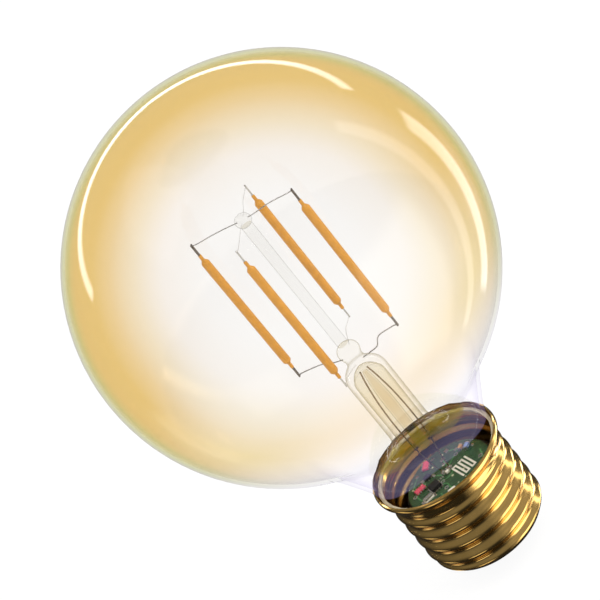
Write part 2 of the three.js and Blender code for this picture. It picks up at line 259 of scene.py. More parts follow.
# ---- curves and profiles -----------------------------------------------------------------------
def arc(centre, radius, start, end, count):
    """Points at centre + radius * (cos, sin) of angles spread evenly from start to end, in
    degrees."""
    angles = np.radians(np.linspace(start, end, count))
    return np.stack(
        [centre[0] + radius * np.cos(angles), centre[1] + radius * np.sin(angles)], 1
    )


def smooth(points, per_span=8):
    """A Catmull-Rom curve: each span is the cubic that passes through its two ends with slopes of
    half the step between their neighbours."""
    p = np.asarray(points, float)
    ends = np.concatenate([[2 * p[0] - p[1]], p, [2 * p[-1] - p[-2]]])
    before, start, end, after = ends[:-3], ends[1:-2], ends[2:-1], ends[3:]
    t = (np.arange(per_span) / per_span)[None, :, None]
    a, b, c, d = (x[:, None, :] for x in (before, start, end, after))
    curve = 0.5 * (
        2 * b
        + (c - a) * t
        + (2 * a - 5 * b + 4 * c - d) * t**2
        + (3 * b - a - 3 * c + d) * t**3
    )
    return np.concatenate([curve.reshape(-1, p.shape[1]), p[-1:]])


def ring_place(radius, degrees, z=0.0):
    """The point at this radius and angle from +X."""
    angle = math.radians(degrees)
    return [radius * math.cos(angle), radius * math.sin(angle), z]


def soft_step(value, start, end):
    """0 before start, 1 after end, and 3t^2 - 2t^3 of the share t between them."""
    t = np.clip((value - start) / (end - start), 0, 1)
    return t * t * (3 - 2 * t)


# ---- shapes: each is (points, four-sided faces, triangles) -------------------------------------
def skin(grid, loop_rows=False, pole_start=False, pole_end=False):
    """Four-sided faces over a grid of rows of points, each row closed on itself. loop_rows joins
    the last row to the first. A pole gathers an end row into one point, with triangles round it.
    Faces are turned over if the signed volume, a sixth of the sum of each triangle's corner
    product, is below nothing."""
    rows, columns = grid.shape[:2]
    index = np.arange(rows * columns).reshape(rows, columns)
    first, last = (index, np.roll(index, -1, 0)) if loop_rows else (index[:-1], index[1:])
    quads = np.stack([first, np.roll(first, -1, 1), np.roll(last, -1, 1), last], -1)
    quads = quads.reshape(-1, 4)
    points = grid.reshape(-1, 3)
    fans = [np.zeros((0, 3), int)]
    for wanted, row, order in ((pole_start, index[0], 1), (pole_end, index[-1], -1)):
        if wanted:
            points = np.concatenate([points, points[row].mean(0)[None]])
            tip = np.full(columns, len(points) - 1)
            fans.append(np.stack([tip, np.roll(row, -1), row], -1)[:, ::order])
    triangles = np.concatenate(fans)
    halves = np.concatenate([quads[:, :3], quads[:, [0, 2, 3]], triangles])
    p, q, r = (points[halves[:, k]] - points.mean(0) for k in range(3))
    if np.einsum("ij,ij->i", p, np.cross(q, r)).sum() < 0:
        quads, triangles = quads[:, ::-1], triangles[:, ::-1]
    return points, quads, triangles


def revolved(profile, segments=96):
    """A profile of (radius, z) points carried round the Z axis. One that starts or ends on the axis
    gets a pole there, and any other is a loop."""
    profile = np.asarray(profile, float)
    start, end = profile[0, 0] < 1e-9, profile[-1, 0] < 1e-9
    profile = profile[int(start) : len(profile) - int(end)]
    angle = np.arange(segments) / segments * TURN
    radius, z = profile[:, :1], profile[:, 1:]
    grid = np.stack([radius * np.cos(angle), radius * np.sin(angle), z + 0 * angle], -1)
    return skin(grid, loop_rows=not (start or end), pole_start=start, pole_end=end)


def eased(profile, size):
    """A closed profile with each corner P cut back by size along both sides, at most to near their
    middles, and rounded by (1-t)^2 A + 2t(1-t) P + t^2 B between the two cuts A and B. Corners that
    lie on the axis stay as they are."""
    p = np.asarray(profile, float)
    cuts = []
    for other in (np.roll(p, 1, 0), np.roll(p, -1, 0)):
        side = other - p
        length = np.linalg.norm(side, axis=1)[:, None]
        cuts.append(p + side / length * np.minimum(size, 0.45 * length))
    t = np.linspace(0, 1, 5)[None, :, None]
    curve = (1 - t) ** 2 * cuts[0][:, None] + 2 * t * (1 - t) * p[:, None] + t**2 * cuts[1][:, None]
    on_axis = p[:, 0] < 1e-9
    curve[on_axis] = p[on_axis][:, None]
    curve = curve.reshape(-1, 2)
    fresh = np.linalg.norm(curve - np.roll(curve, 1, 0), axis=1) > 1e-9
    return curve[fresh]


def tube(path, radius, sides=12):
    """A round section carried along a path, square to it. radius is one number or one for each
    point. The section's axes are the path's direction crossed with a fixed slanting line."""
    path = np.asarray(path, float)
    along = np.gradient(path, axis=0)
    along /= np.linalg.norm(along, axis=1)[:, None]
    across = np.cross(along, [0.31, -0.83, 0.46])
    across /= np.linalg.norm(across, axis=1)[:, None]
    third = np.cross(along, across)
    angle = np.arange(sides) / sides * TURN
    size = np.broadcast_to(radius, len(path))[:, None, None]
    round_it = (
        across[:, None] * np.cos(angle)[None, :, None]
        + third[:, None] * np.sin(angle)[None, :, None]
    )
    return skin(path[:, None] + size * round_it, pole_start=True, pole_end=True)


def wire(points, radius):
    """A round wire on the smooth curve through the points, its two ends rounded off as the square
    root of 1 - t^2 over half a radius."""
    path = smooth(points)
    step = path[1] - path[0], path[-1] - path[-2]
    first, last = (s / np.linalg.norm(s) * radius for s in step)
    share = np.array([1.0, 0.92, 0.7, 0.4])[:, None]
    before = path[:1] - share * first * 0.5
    after = path[-1:] + share[::-1] * last * 0.5
    path = np.concatenate([before, path, after])
    taper = np.sqrt(1 - np.clip(share[:, 0], 0, 0.985) ** 2)
    size = np.concatenate([taper, np.ones(len(path) - 8), taper[::-1]])
    return tube(path, radius * size)


def ribbon(path, width, low_z, high_z):
    """A flat strip on a path of (x, y) points, with mitred corners: at each one the strip's edge is
    half its width times (n1 + n2) / (1 + n1.n2) away, for the normals n1 and n2 of the two
    sides."""
    path = np.asarray(path, float)
    way = np.diff(path, axis=0)
    way /= np.linalg.norm(way, axis=1)[:, None]
    normal = np.stack([-way[:, 1], way[:, 0]], 1)
    before = np.concatenate([normal[:1], normal])
    after = np.concatenate([normal, normal[-1:]])
    edge = (before + after) / (1 + (before * after).sum(1))[:, None] * width / 2
    corners = ((1, low_z), (-1, low_z), (-1, high_z), (1, high_z))
    rows = [np.c_[path + side * edge, np.full(len(path), z)] for side, z in corners]
    return skin(np.stack(rows, 1), pole_start=True, pole_end=True)


def block(width, depth, height, rounding):
    """A box with rounded edges, standing on z = 0: every point of a ball of the rounding's radius
    is moved outwards to its own corner of the box."""
    quarter = np.linspace(0.02, 0.98, 4) * math.pi / 2
    around = np.concatenate([quarter + k * math.pi / 2 for k in range(4)])
    upward = np.concatenate([quarter - math.pi / 2, quarter])
    ball = np.stack(
        [
            np.cos(upward)[:, None] * np.cos(around),
            np.cos(upward)[:, None] * np.sin(around),
            np.sin(upward)[:, None] + 0 * around,
        ],
        -1,
    )
    reach = np.array([width, depth, height]) / 2 - rounding
    grid = np.sign(ball) * reach + rounding * ball + [0, 0, height / 2]
    return skin(grid, pole_start=True, pole_end=True)


def moved(shape, place, turn=0.0):
    """The shape turned about Z by an angle in degrees, then moved to the place."""
    c, s = math.cos(math.radians(turn)), math.sin(math.radians(turn))
    turned = shape[0] @ np.array([[c, s, 0], [-s, c, 0], [0, 0, 1]])
    return turned + np.array(place), *shape[1:]


SHARP_ANGLE = math.radians(40)


def piece(name, parts, nodes):
    """Makes one object of (shape, finish name) parts, each a closed body of its own. It rides on
    the bulb, takes its finishes by name and stands for the CAD nodes."""
    finishes = list(dict.fromkeys(part[1] for part in parts))
    points, faces, numbers, count = [], [], [], 0
    for (corners, quads, triangles), finish_name in parts:
        points.append(corners)
        faces += (quads + count).tolist() + (triangles + count).tolist()
        numbers.append(np.full(len(quads) + len(triangles), finishes.index(finish_name)))
        count += len(corners)
    mesh = bpy.data.meshes.new(name)
    mesh.from_pydata(np.concatenate(points).tolist(), [], faces)
    for finish_name in finishes:
        mesh.materials.append(finish(finish_name))
    mesh.polygons.foreach_set("material_index", np.concatenate(numbers).astype(np.int32))
    mesh.polygons.foreach_set("use_smooth", np.ones(len(faces), bool))
    mesh.set_sharp_from_angle(angle=SHARP_ANGLE)
    mesh.validate()
    item = bpy.data.objects.new(name, mesh)
    bpy.context.scene.collection.objects.link(item)
    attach(item, BODY)
    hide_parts(*nodes)


# ---- shader nodes ------------------------------------------------------------------------------
def opaque(colour, scale=1.0):
    """The colour with full alpha, made darker or lighter by scale."""
    return (*(min(1.0, c * scale) for c in colour), 1.0)


def add(tree, kind, inputs=None, **settings):
    """A node with its settings, and each named or numbered input set to a value or linked."""
    node = tree.nodes.new(kind)
    for key, value in settings.items():
        setattr(node, key, value)
    for key, value in (inputs or {}).items():
        if isinstance(value, bpy.types.NodeSocket):
            tree.links.new(value, node.inputs[key])
        else:
            node.inputs[key].default_value = value
    return node


def maths(tree, operation, *values, clamp=False):
    """The result of a maths node on these values or links."""
    terms = dict(enumerate(values))
    return add(tree, "ShaderNodeMath", terms, operation=operation, use_clamp=clamp).outputs[0]


def ranged(tree, value, start, end, first=0.0, last=1.0, soft=False):
    """The value carried from the range start to end into the range first to last, and held beyond
    it. It follows a straight line, or 3t^2 - 2t^3 if soft."""
    limits = {"Value": value, "From Min": start, "From Max": end, "To Min": first, "To Max": last}
    kind = "SMOOTHSTEP" if soft else "LINEAR"
    return add(tree, "ShaderNodeMapRange", limits, interpolation_type=kind).outputs[0]


def mixed(tree, share, first, second):
    """The first colour where the share is 0 and the second where it is 1."""
    inputs = {0: share}
    for key, tone in ((6, first), (7, second)):
        inputs[key] = tone if isinstance(tone, bpy.types.NodeSocket) else opaque(tone)
    return add(tree, "ShaderNodeMix", inputs, data_type="RGBA").outputs[2]


def ramped(tree, value, stops):
    """The colour at a value on a ramp of (position, colour) stops."""
    node = add(tree, "ShaderNodeValToRGB", {"Fac": value})
    elements = node.color_ramp.elements
    for number, (position, colour) in enumerate(stops):
        element = elements[number] if number < 2 else elements.new(position)
        element.position = position
        element.color = opaque(colour)
    return node.outputs["Color"]


def object_place(tree):
    """The object coordinates."""
    return add(tree, "ShaderNodeTexCoord").outputs["Object"]


def axes_of(tree, place):
    """The x, y and z of a place."""
    return add(tree, "ShaderNodeSeparateXYZ", {0: place}).outputs


def new_group(name, inputs, output, kind="NodeSocketFloat"):
    """An empty node group with one output. An input is a colour if its default is a tuple, and else
    a number. Returns the tree, the inputs' sockets and the output's."""
    tree = bpy.data.node_groups.new(name, "ShaderNodeTree")
    for title, default in inputs.items():
        sort = "NodeSocketColor" if isinstance(default, tuple) else "NodeSocketFloat"
        socket = tree.interface.new_socket(title, in_out="INPUT", socket_type=sort)
        socket.default_value = default
    tree.interface.new_socket(output, in_out="OUTPUT", socket_type=kind)
    given = tree.nodes.new("NodeGroupInput").outputs
    return tree, given, tree.nodes.new("NodeGroupOutput").inputs[0]


def uneven_group():
    """A value that drifts between Low and High in soft patches of the given Scale."""
    tree, given, result = new_group("Uneven", {"Scale": 200.0, "Low": 0.2, "High": 0.4}, "Value")
    terms = {"Vector": object_place(tree), "Scale": given["Scale"], "Detail": 5.0, "Roughness": 0.6}
    noise = add(tree, "ShaderNodeTexNoise", terms).outputs[0]
    tree.links.new(ranged(tree, noise, 0.32, 0.68, given["Low"], given["High"]), result)
    return tree


def two_tone_group():
    """A colour that drifts between two tones in patches of the given Scale."""
    tones = {"Light": (0.8, 0.8, 0.8, 1), "Dark": (0.2, 0.2, 0.2, 1), "Scale": 200.0}
    tree, given, result = new_group("Two Tone", tones, "Colour", "NodeSocketColor")
    terms = {"Vector": object_place(tree), "Scale": given["Scale"], "Detail": 6.0}
    noise = add(tree, "ShaderNodeTexNoise", terms).outputs[0]
    share = ranged(tree, noise, 0.35, 0.65)
    tree.links.new(mixed(tree, share, given["Dark"], given["Light"]), result)
    return tree


def grain_group():
    """A height made of fine noise and finer cells, for moulded, coated and rolled surfaces."""
    tree, given, result = new_group("Grain", {"Scale": 2000.0, "Cells": 0.3}, "Height")
    terms = {"Vector": object_place(tree), "Scale": given["Scale"]}
    noise = add(tree, "ShaderNodeTexNoise", {**terms, "Detail": 3.0}).outputs[0]
    cells = add(tree, "ShaderNodeTexVoronoi", terms).outputs["Distance"]
    height = add(tree, "ShaderNodeMix", {0: given["Cells"], 2: noise, 3: cells})
    tree.links.new(height.outputs[0], result)
    return tree


GROUPS = {"Uneven": uneven_group, "Two Tone": two_tone_group, "Grain": grain_group}


def effect(tree, name, inputs):
    """Places a shared node group in a material with its own values."""
    group = bpy.data.node_groups.get(name) or GROUPS[name]()
    return add(tree, "ShaderNodeGroup", inputs, node_tree=group).outputs[0]


# ---- finishes ----------------------------------------------------------------------------------
def base_finish(name, colour=None, roughness=None, **sockets):
    """A material with one Principled shader. Returns the material, its tree and the shader."""
    material = bpy.data.materials.new(name)
    material.use_nodes = True
    tree = material.node_tree
    shader = tree.nodes["Principled BSDF"]
    if colour is not None:
        shader.inputs["Base Color"].default_value = colour
    if roughness is not None:
        shader.inputs["Roughness"].default_value = roughness
    for title, value in sockets.items():
        shader.inputs[title.replace("_", " ")].default_value = value
    return material, tree, shader


def feed(tree, shader, **sockets):
    """Links each value to the shader's input of that name."""
    for title, value in sockets.items():
        tree.links.new(value, shader.inputs[title.replace("_", " ")])


def add_bump(tree, shader, height, distance):
    """Feeds the shader's normal from a height, in metres of relief."""
    terms = {"Height": height, "Distance": distance, "Strength": 0.5}
    feed(tree, shader, Normal=add(tree, "ShaderNodeBump", terms).outputs[0])


def varied_finish(name, colour, scale, roughness, dark=0.8, grain=None, relief=0.0, **sockets):
    """A solid finish whose colour and roughness drift a little, with an optional fine grain."""
    material, tree, shader = base_finish(name, **sockets)
    tones = {"Light": opaque(colour), "Dark": opaque(colour, dark), "Scale": scale}
    feed(tree, shader, Base_Color=effect(tree, "Two Tone", tones))
    spread = {"Scale": scale * 1.7, "Low": roughness[0], "High": roughness[1]}
    feed(tree, shader, Roughness=effect(tree, "Uneven", spread))
    if grain:
        add_bump(tree, shader, effect(tree, "Grain", {"Scale": grain}), relief)
    return material


STRAIGHT_AFTER = 5.5
LAMP_TINT = (0.97, 0.95, 0.91)


def let_lamps_through(tree, shader):
    """Shadow rays and diffuse rays pass the glass unbent, so lamps and sky light what is inside. So
    do rays that have crossed more than STRAIGHT_AFTER surfaces, which would otherwise end black."""
    path = add(tree, "ShaderNodeLightPath").outputs
    deep = maths(tree, "GREATER_THAN", path["Transmission Depth"], STRAIGHT_AFTER)
    lamp = maths(tree, "MAXIMUM", path["Is Shadow Ray"], path["Is Diffuse Ray"])
    straight = maths(tree, "MAXIMUM", lamp, deep)
    clear = add(tree, "ShaderNodeBsdfTransparent", {"Color": opaque(LAMP_TINT)}).outputs[0]
    ends = {0: straight, 1: shader.outputs[0], 2: clear}
    both = add(tree, "ShaderNodeMixShader", ends).outputs[0]
    tree.links.new(both, tree.nodes["Material Output"].inputs["Surface"])


# The emission is left on for the painted glows that the film glass and the stem's flare feed in.
def clear_glass(name, ior, coat=0.0):
    """Smooth glass whose mirror-like coat has the given weight."""
    material, tree, shader = base_finish(
        name,
        roughness=0.0,
        IOR=ior,
        Transmission_Weight=1.0,
        Coat_Weight=coat,
        Coat_Roughness=0.0,
        Emission_Strength=1.0,
    )
    facing = add(tree, "ShaderNodeLayerWeight", {"Blend": 0.5}).outputs["Facing"]
    return material, tree, shader, facing


NECK_CLEAR_Z = 28.2 * MM
NECK_CLEAR_RISE = 3.5 * MM
NECK_CLEAR_SOFT = 0.3 * MM
# Heights up the neck where the painted lilac reflection glow is full and where it has faded out.
REFLECTION_GLOW_FULL_Z = 36 * MM
REFLECTION_GLOW_TOP_Z = 48 * MM
SHINE_LOW_Z, SHINE_FULL_Z, SHINE = 50 * MM, 66 * MM, 0.5
FILM_LOW_Z, FILM_FULL_Z = GLOBE_Z - 0.76 * GLOBE_R, GLOBE_Z - 0.2 * GLOBE_R
BARE_FACE, BARE_EDGE = (0.95, 0.94, 0.92), (0.62, 0.60, 0.66)
BARE_TURN = 0.6, 0.97
BLACK, WHITE = (0, 0, 0), (1, 1, 1)
FILM_STOPS = (
    (0.06, (0.93, 0.91, 0.885)),
    (0.165, (0.91, 0.85, 0.78)),
    (0.26, (0.87, 0.745, 0.54)),
    (0.39, (0.83, 0.61, 0.30)),
    (0.50, "film_colour"),
    (0.70, "film_colour"),
    (0.84, "rim_colour"),
    (0.95, (0.82, 0.77, 0.56)),
)


def film_glass(glass):
    """Glass with an amber film. The film's tint deepens as the surface turns edge-on, is full on
    the crown and the sides, and runs out towards the neck, where only the glass's grey edge is
    left. So does the coat that gives it its reflections. Only rays that come from the air are
    tinted, so each wall tints them once. The glass also emits a painted reflection, a faint lilac
    glow that stands in for what the film mirrors. It shows over dark things in the neck above
    z = NECK_CLEAR_Z + NECK_CLEAR_RISE (y / neck radius)^2."""
    material, tree, shader, facing = clear_glass("amber_film_glass", glass.ior)
    inside = add(tree, "ShaderNodeNewGeometry").outputs["Backfacing"]
    _, y, z = axes_of(tree, object_place(tree))
    stops = [(at, getattr(glass, c) if isinstance(c, str) else c) for at, c in FILM_STOPS]
    film_share = ranged(tree, z, FILM_LOW_Z, FILM_FULL_Z, soft=True)
    film_share = maths(tree, "SUBTRACT", film_share, inside, clamp=True)
    bare = mixed(tree, ranged(tree, facing, *BARE_TURN), BARE_FACE, BARE_EDGE)
    bare = mixed(tree, inside, bare, WHITE)
    side = maths(tree, "DIVIDE", y, glass.neck_radius)
    square = maths(tree, "MULTIPLY", side, side)
    above = maths(tree, "MULTIPLY_ADD", square, -NECK_CLEAR_RISE, z)
    # Painted reflection: mask of the lilac glow, on above the neck's clear line and faded out
    # towards the globe.
    lit = ranged(tree, above, NECK_CLEAR_Z, NECK_CLEAR_Z + NECK_CLEAR_SOFT)
    fade = ranged(tree, z, REFLECTION_GLOW_TOP_Z, REFLECTION_GLOW_FULL_Z, soft=True)
    reflection_glow_share = maths(tree, "MULTIPLY", lit, fade)
    reflection_glow_share = maths(tree, "SUBTRACT", reflection_glow_share, inside, clamp=True)
    feed(
        tree,
        shader,
        Base_Color=mixed(tree, film_share, bare, ramped(tree, facing, stops)),
        Coat_Weight=ranged(tree, z, SHINE_LOW_Z, SHINE_FULL_Z, 0.0, SHINE, soft=True),
        # Emission that paints the lilac reflection glow.
        Emission_Color=mixed(tree, reflection_glow_share, BLACK, glass.painted_reflection_colour),
    )
    let_lamps_through(tree, shader)
    return material


STEM_TURN = 0.5, 0.96
STEM_FACE, STEM_EDGE = (0.985, 0.978, 0.945), (0.42, 0.37, 0.22)
ROD_FACE, ROD_EDGE = (0.95, 0.95, 0.94), (0.50, 0.50, 0.48)
# PATCH_TINT is the flare patch's olive-gold tint; the glow is painted light, gold that the glass
# emits though it is no lamp.
PATCH_TINT, PATCH_PAINTED_GLOW = (0.46, 0.36, 0.06), (0.085, 0.068, 0.0)
PATCH_R = 10.8 * MM
PATCH_Y = 2.4 * MM
PATCH_SOFT = 0.5 * MM
PATCH_SQUEEZE = 1.75
FLARE_CLEAR_Z, FLARE_END_Z = FLARE_Z + 3.6 * MM, FLARE_Z + 5.0 * MM
FLARE_FOOT_Z = FLARE_Z - 0.2 * MM


def stem_glass(glass):
    """Uncoated lead glass of the stem and rod, khaki or grey where it is seen edge-on. The flare at
    the stem's foot has an olive and gold patch, where y is below PATCH_Y and x^2 + (PATCH_SQUEEZE
    (y - PATCH_Y))^2 is below PATCH_R^2: an olive-gold tint, and a painted gold glow that the glass
    emits though it is no lamp. The rest of the flare is colourless."""
    material, tree, shader, facing = clear_glass("stem_clear_glass", glass.ior, 0.3)
    place = object_place(tree)
    _, y, z = axes_of(tree, place)
    rod = maths(tree, "GREATER_THAN", z, STEM_TOP_Z)
    face = mixed(tree, rod, STEM_FACE, ROD_FACE)
    edge = mixed(tree, rod, STEM_EDGE, ROD_EDGE)
    clear = mixed(tree, ranged(tree, facing, *STEM_TURN), face, edge)
    low_down = ranged(tree, z, FLARE_END_Z, FLARE_CLEAR_Z)
    squeeze = {
        "Vector": place,
        "Location": (0, -PATCH_SQUEEZE * PATCH_Y, 0),
        "Scale": (1, PATCH_SQUEEZE, 0),
    }
    squeezed = add(tree, "ShaderNodeMapping", squeeze).outputs[0]
    reach = add(tree, "ShaderNodeVectorMath", {0: squeezed}, operation="LENGTH").outputs["Value"]
    gold = low_down
    for share in (
        maths(tree, "GREATER_THAN", z, FLARE_FOOT_Z),
        ranged(tree, reach, PATCH_R, PATCH_R - PATCH_SOFT),
        ranged(tree, y, PATCH_Y, PATCH_Y - PATCH_SOFT),
    ):
        gold = maths(tree, "MULTIPLY", gold, share)
    feed(
        tree,
        shader,
        Base_Color=mixed(tree, gold, mixed(tree, low_down, clear, WHITE), PATCH_TINT),
        # Emission that paints the gold glow on the flare's patch.
        Emission_Color=mixed(tree, gold, BLACK, PATCH_PAINTED_GLOW),
    )
    let_lamps_through(tree, shader)
    return material


def coat_finish(settings):
    """Silicone and phosphor coat: an even satin amber with faint mottling and soft translucency."""
    return varied_finish(
        "filament_coat",
        settings.coat_colour,
        900.0,
        (0.42, 0.6),
        dark=0.86,
        grain=5200.0,
        relief=0.02 * MM,
        Coat_Weight=0.25,
        Coat_Roughness=0.3,
    )


def brass_finish(settings):
    """Polished, lacquered brass with faint smudges and rolling marks."""
    rough = settings.brass_roughness
    return varied_finish(
        "polished_brass",
        settings.brass_colour,
        240.0,
        (rough * 0.7, rough * 1.4),
        dark=0.86,
        grain=1500.0,
        relief=0.006 * MM,
        Metallic=1.0,
    )


def board_finish(settings):
    """Green solder mask over copper: fine parallel tracks and small plated holes show through."""
    material, tree, shader = base_finish("solder_mask", Coat_Weight=0.5, Coat_Roughness=0.15)
    place = object_place(tree)
    slant = {"Vector": place, "Rotation": (0, 0, math.radians(12))}
    bricks = {
        "Vector": add(tree, "ShaderNodeMapping", slant).outputs[0],
        "Color1": opaque(settings.mask_colour),
        "Color2": opaque(settings.mask_colour, 0.65),
        "Mortar": opaque(settings.mask_colour, 1.9),
        "Scale": 330.0,
        "Mortar Size": 0.035,
        "Brick Width": 1.6,
        "Row Height": 0.22,
    }
    tracks = add(tree, "ShaderNodeTexBrick", bricks, offset=0.35)
    holes = add(tree, "ShaderNodeTexVoronoi", {"Vector": place, "Scale": 480.0})
    dots = maths(tree, "LESS_THAN", holes.outputs["Distance"], 0.14)
    feed(
        tree,
        shader,
        Base_Color=mixed(tree, dots, tracks.outputs[0], (0.50, 0.52, 0.36)),
        Roughness=effect(tree, "Uneven", {"Scale": 600.0, "Low": 0.25, "High": 0.45}),
    )
    add_bump(tree, shader, tracks.outputs["Fac"], 0.03 * MM)
    return material


SIMPLE_FINISHES = {
    "dark_pin_metal": ((0.20, 0.165, 0.13), 800.0, (0.28, 0.45), {"Metallic": 1.0}),
    "pale_pin_metal": ((0.66, 0.64, 0.59), 800.0, (0.25, 0.4), {"Metallic": 1.0}),
    "nickel_wire": ((0.58, 0.56, 0.52), 900.0, (0.25, 0.4), {"Metallic": 1.0}),
    "copper_clad_wire": ((0.40, 0.31, 0.22), 900.0, (0.22, 0.35), {"Metallic": 1.0}),
    "enamelled_copper": ((0.55, 0.22, 0.08), 900.0, (0.2, 0.35), {"Metallic": 0.8}),
    "bright_solder": ((0.80, 0.80, 0.77), 900.0, (0.2, 0.38), {"Metallic": 1.0}),
    "black_epoxy": ((0.018, 0.018, 0.020), 900.0, (0.38, 0.55), {}),
    "black_cup_plastic": ((0.012, 0.012, 0.013), 500.0, (0.35, 0.55), {}),
    "black_vitrite": ((0.010, 0.009, 0.012), 400.0, (0.12, 0.26), {"Coat_Weight": 0.4}),
    "contact_brass": ((0.74, 0.56, 0.28), 500.0, (0.25, 0.42), {"Metallic": 1.0}),
    "red_lacquer": ((0.62, 0.018, 0.055), 900.0, (0.25, 0.4), {"Coat_Weight": 0.5}),
    "blue_lacquer": ((0.07, 0.13, 0.46), 900.0, (0.25, 0.4), {"Coat_Weight": 0.5}),
    "tan_ceramic": ((0.58, 0.33, 0.12), 900.0, (0.35, 0.5), {}),
    "white_ceramic": ((0.80, 0.79, 0.74), 700.0, (0.4, 0.6), {}),
    "capping_cement": ((0.62, 0.57, 0.45), 600.0, (0.7, 0.9), {}),
    "grey_sleeve": ((0.05, 0.06, 0.09), 700.0, (0.3, 0.45), {}),
    "green_lacquer": ((0.06, 0.22, 0.12), 700.0, (0.3, 0.45), {"Coat_Weight": 0.5}),
    "mask_over_copper": ((0.10, 0.33, 0.12), 700.0, (0.25, 0.4), {"Coat_Weight": 0.5}),
    "bright_tin": ((0.86, 0.85, 0.80), 700.0, (0.3, 0.45), {"Coat_Weight": 0.3}),
}


def finish(name):
    """A material by name, made on first use."""
    made = bpy.data.materials.get(name)
    if made:
        return made
    scene = bpy.context.scene
    special = {
        "amber_film_glass": (film_glass, scene.bulb_glass),
        "stem_clear_glass": (stem_glass, scene.bulb_glass),
        "filament_coat": (coat_finish, scene.bulb_filaments),
        "polished_brass": (brass_finish, scene.bulb_cap),
        "solder_mask": (board_finish, scene.bulb_board),
    }
    if name in special:
        make, settings = special[name]
        return make(settings)
    colour, scale, roughness, sockets = SIMPLE_FINISHES[name]
    return varied_finish(
        name, colour, scale, roughness, grain=scale * 3, relief=0.008 * MM, **sockets
    )


# ---- glass -------------------------------------------------------------------------------------
GLOBE_START = 51.5
NECK_LINE = (
    (13.4, 25.9), (13.4, 26.7), (13.4, 27.6), (13.75, 29.4), (14.75, 31.9), (16.3, 35.1),
    (18.15, 38.8), (20.1, 42.1), (22.3, 44.3),
)


def envelope_line(glass, inset):
    """One wall's (radius, z) line: a smooth curve up the neck's cone, then the globe's circle. The
    inner wall is the outer one moved in along its normals, (dz, -dr) of each point's direction."""
    circle = arc((0, GLOBE_Z), GLOBE_R, -GLOBE_START, 90, 100)
    scale = [glass.neck_radius / NECK_LINE[0][0], MM]
    neck = smooth(np.concatenate([np.array(NECK_LINE) * scale, circle[:1]]), 6)[:-1]
    line = np.concatenate([neck, circle[:-1]])
    way = np.gradient(line, axis=0)
    way /= np.linalg.norm(way, axis=1)[:, None]
    normal = np.stack([way[:, 1], -way[:, 0]], 1)
    return np.concatenate([line - normal * inset, [[0, CROWN_Z - inset]]])


def glass_globe(glass):
    """Both walls as one closed skin, joined at the neck's end by a half round."""
    half = glass.wall / 2
    end = arc((glass.neck_radius - half, NECK_END_Z + half), half, 200, 340, 7)
    inner, outer = envelope_line(glass, glass.wall), envelope_line(glass, 0)
    return revolved(np.concatenate([inner[::-1], end, outer]), 192)


STEM_PROFILE = (
    (0, 51.8), (0.8, 51.65), (1.7, 51.1), (2.5, 50.3), (3.1, 49.2), (3.4, 47.4), (3.4, 36.0),
    (3.45, 34.2), (3.75, 32.7), (4.9, 31.2), (6.2, 30.2), (7.6, 29.75), (10.5, 29.5),
    (11.9, 29.42), (12.25, 29.65), (12.28, 30.0), (12.1, 30.3), (10.6, 30.4), (7.8, 30.6),
    (6.2, 31.5), (5.1, 32.8), (4.5, 34.6), (4.4, 36.5), (4.4, 46.5), (4.4, 49.2), (4.25, 50.3),
    (3.85, 51.2), (3.15, 52.0), (2.4, 52.7), (1.98, 53.4), (1.88, 54.2), (2.1, 55.0), (2.33, 55.8),
    (2.22, 56.6), (1.7, 57.3), (0.9, 57.7), (0, 57.8),
)
EXHAUST_PROFILE = (
    (0, 23.0), (0.5, 23.3), (0.95, 24.2), (1.18, 25.4), (1.2, 27.0), (1.2, 36.0), (1.2, 42.4),
    (1.0, 46.0), (0.6, 50.05), (0.44, 50.2), (0.28, 50.05), (0.62, 46.0), (0.8, 42.0), (0.8, 36.0),
    (0.8, 27.4), (0.65, 25.9), (0.3, 25.2), (0, 25.0),
)


def blown(profile, segments):
    """A glass piece turned from a profile in millimetres, drawn through its points as a smooth
    curve that stays outside the axis."""
    line = smooth(np.array(profile) * MM, 4)
    line[:, 0] = np.maximum(line[:, 0], 0)
    line[1:-1, 0] = np.maximum(line[1:-1, 0], 1e-6)
    return revolved(line, segments)


BEAD_WIDE_R, BEAD_HALF_Z, BEAD_DROP = 1.56 * MM, 1.33 * MM, 0.15 * MM
BEAD_SWELL = 0.12


def rod_bead():
    """A pressed bead: a flattened ball whose radius swells towards the four wires, by
    1 + BEAD_SWELL cos^4 2a cos^2 e at an angle a from a wire and an elevation e."""
    upward = np.radians(np.linspace(-88, 88, 25))[:, None]
    angle = np.arange(64) / 64 * TURN
    wire_angle = angle - math.radians(FIRST_ANGLE)
    swell = 1.0 + BEAD_SWELL * np.cos(2 * wire_angle) ** 4 * np.cos(upward) ** 2
    radius = BEAD_WIDE_R * swell * np.cos(upward) ** 0.7
    z = BEAD_Z - BEAD_DROP + BEAD_HALF_Z * np.sin(upward)
    grid = np.stack([radius * np.cos(angle), radius * np.sin(angle), z + 0 * radius], -1)
    return skin(grid, pole_start=True, pole_end=True)


# ---- filaments and wires -----------------------------------------------------------------------
FIRST_ANGLE = math.degrees(
    math.atan2(middle("led_filament_1")[1], middle("led_filament_1")[0])
)
FILAMENT_CIRCLE_R = float(np.hypot(*middle("led_filament_1")[:2]))
COAT_LOW_Z = float(low("led_filament_1")[2])
COAT_HIGH_Z = float(high("led_filament_1")[2])
PIN_LOW_Z = float(low("led_filament_1_bottom_pin")[2])
PIN_HIGH_Z = float(high("led_filament_1_top_pin")[2])
COLLAR = 1.2 * MM
COLLAR_R = 0.34 * MM
SHOULDER = 0.9 * MM
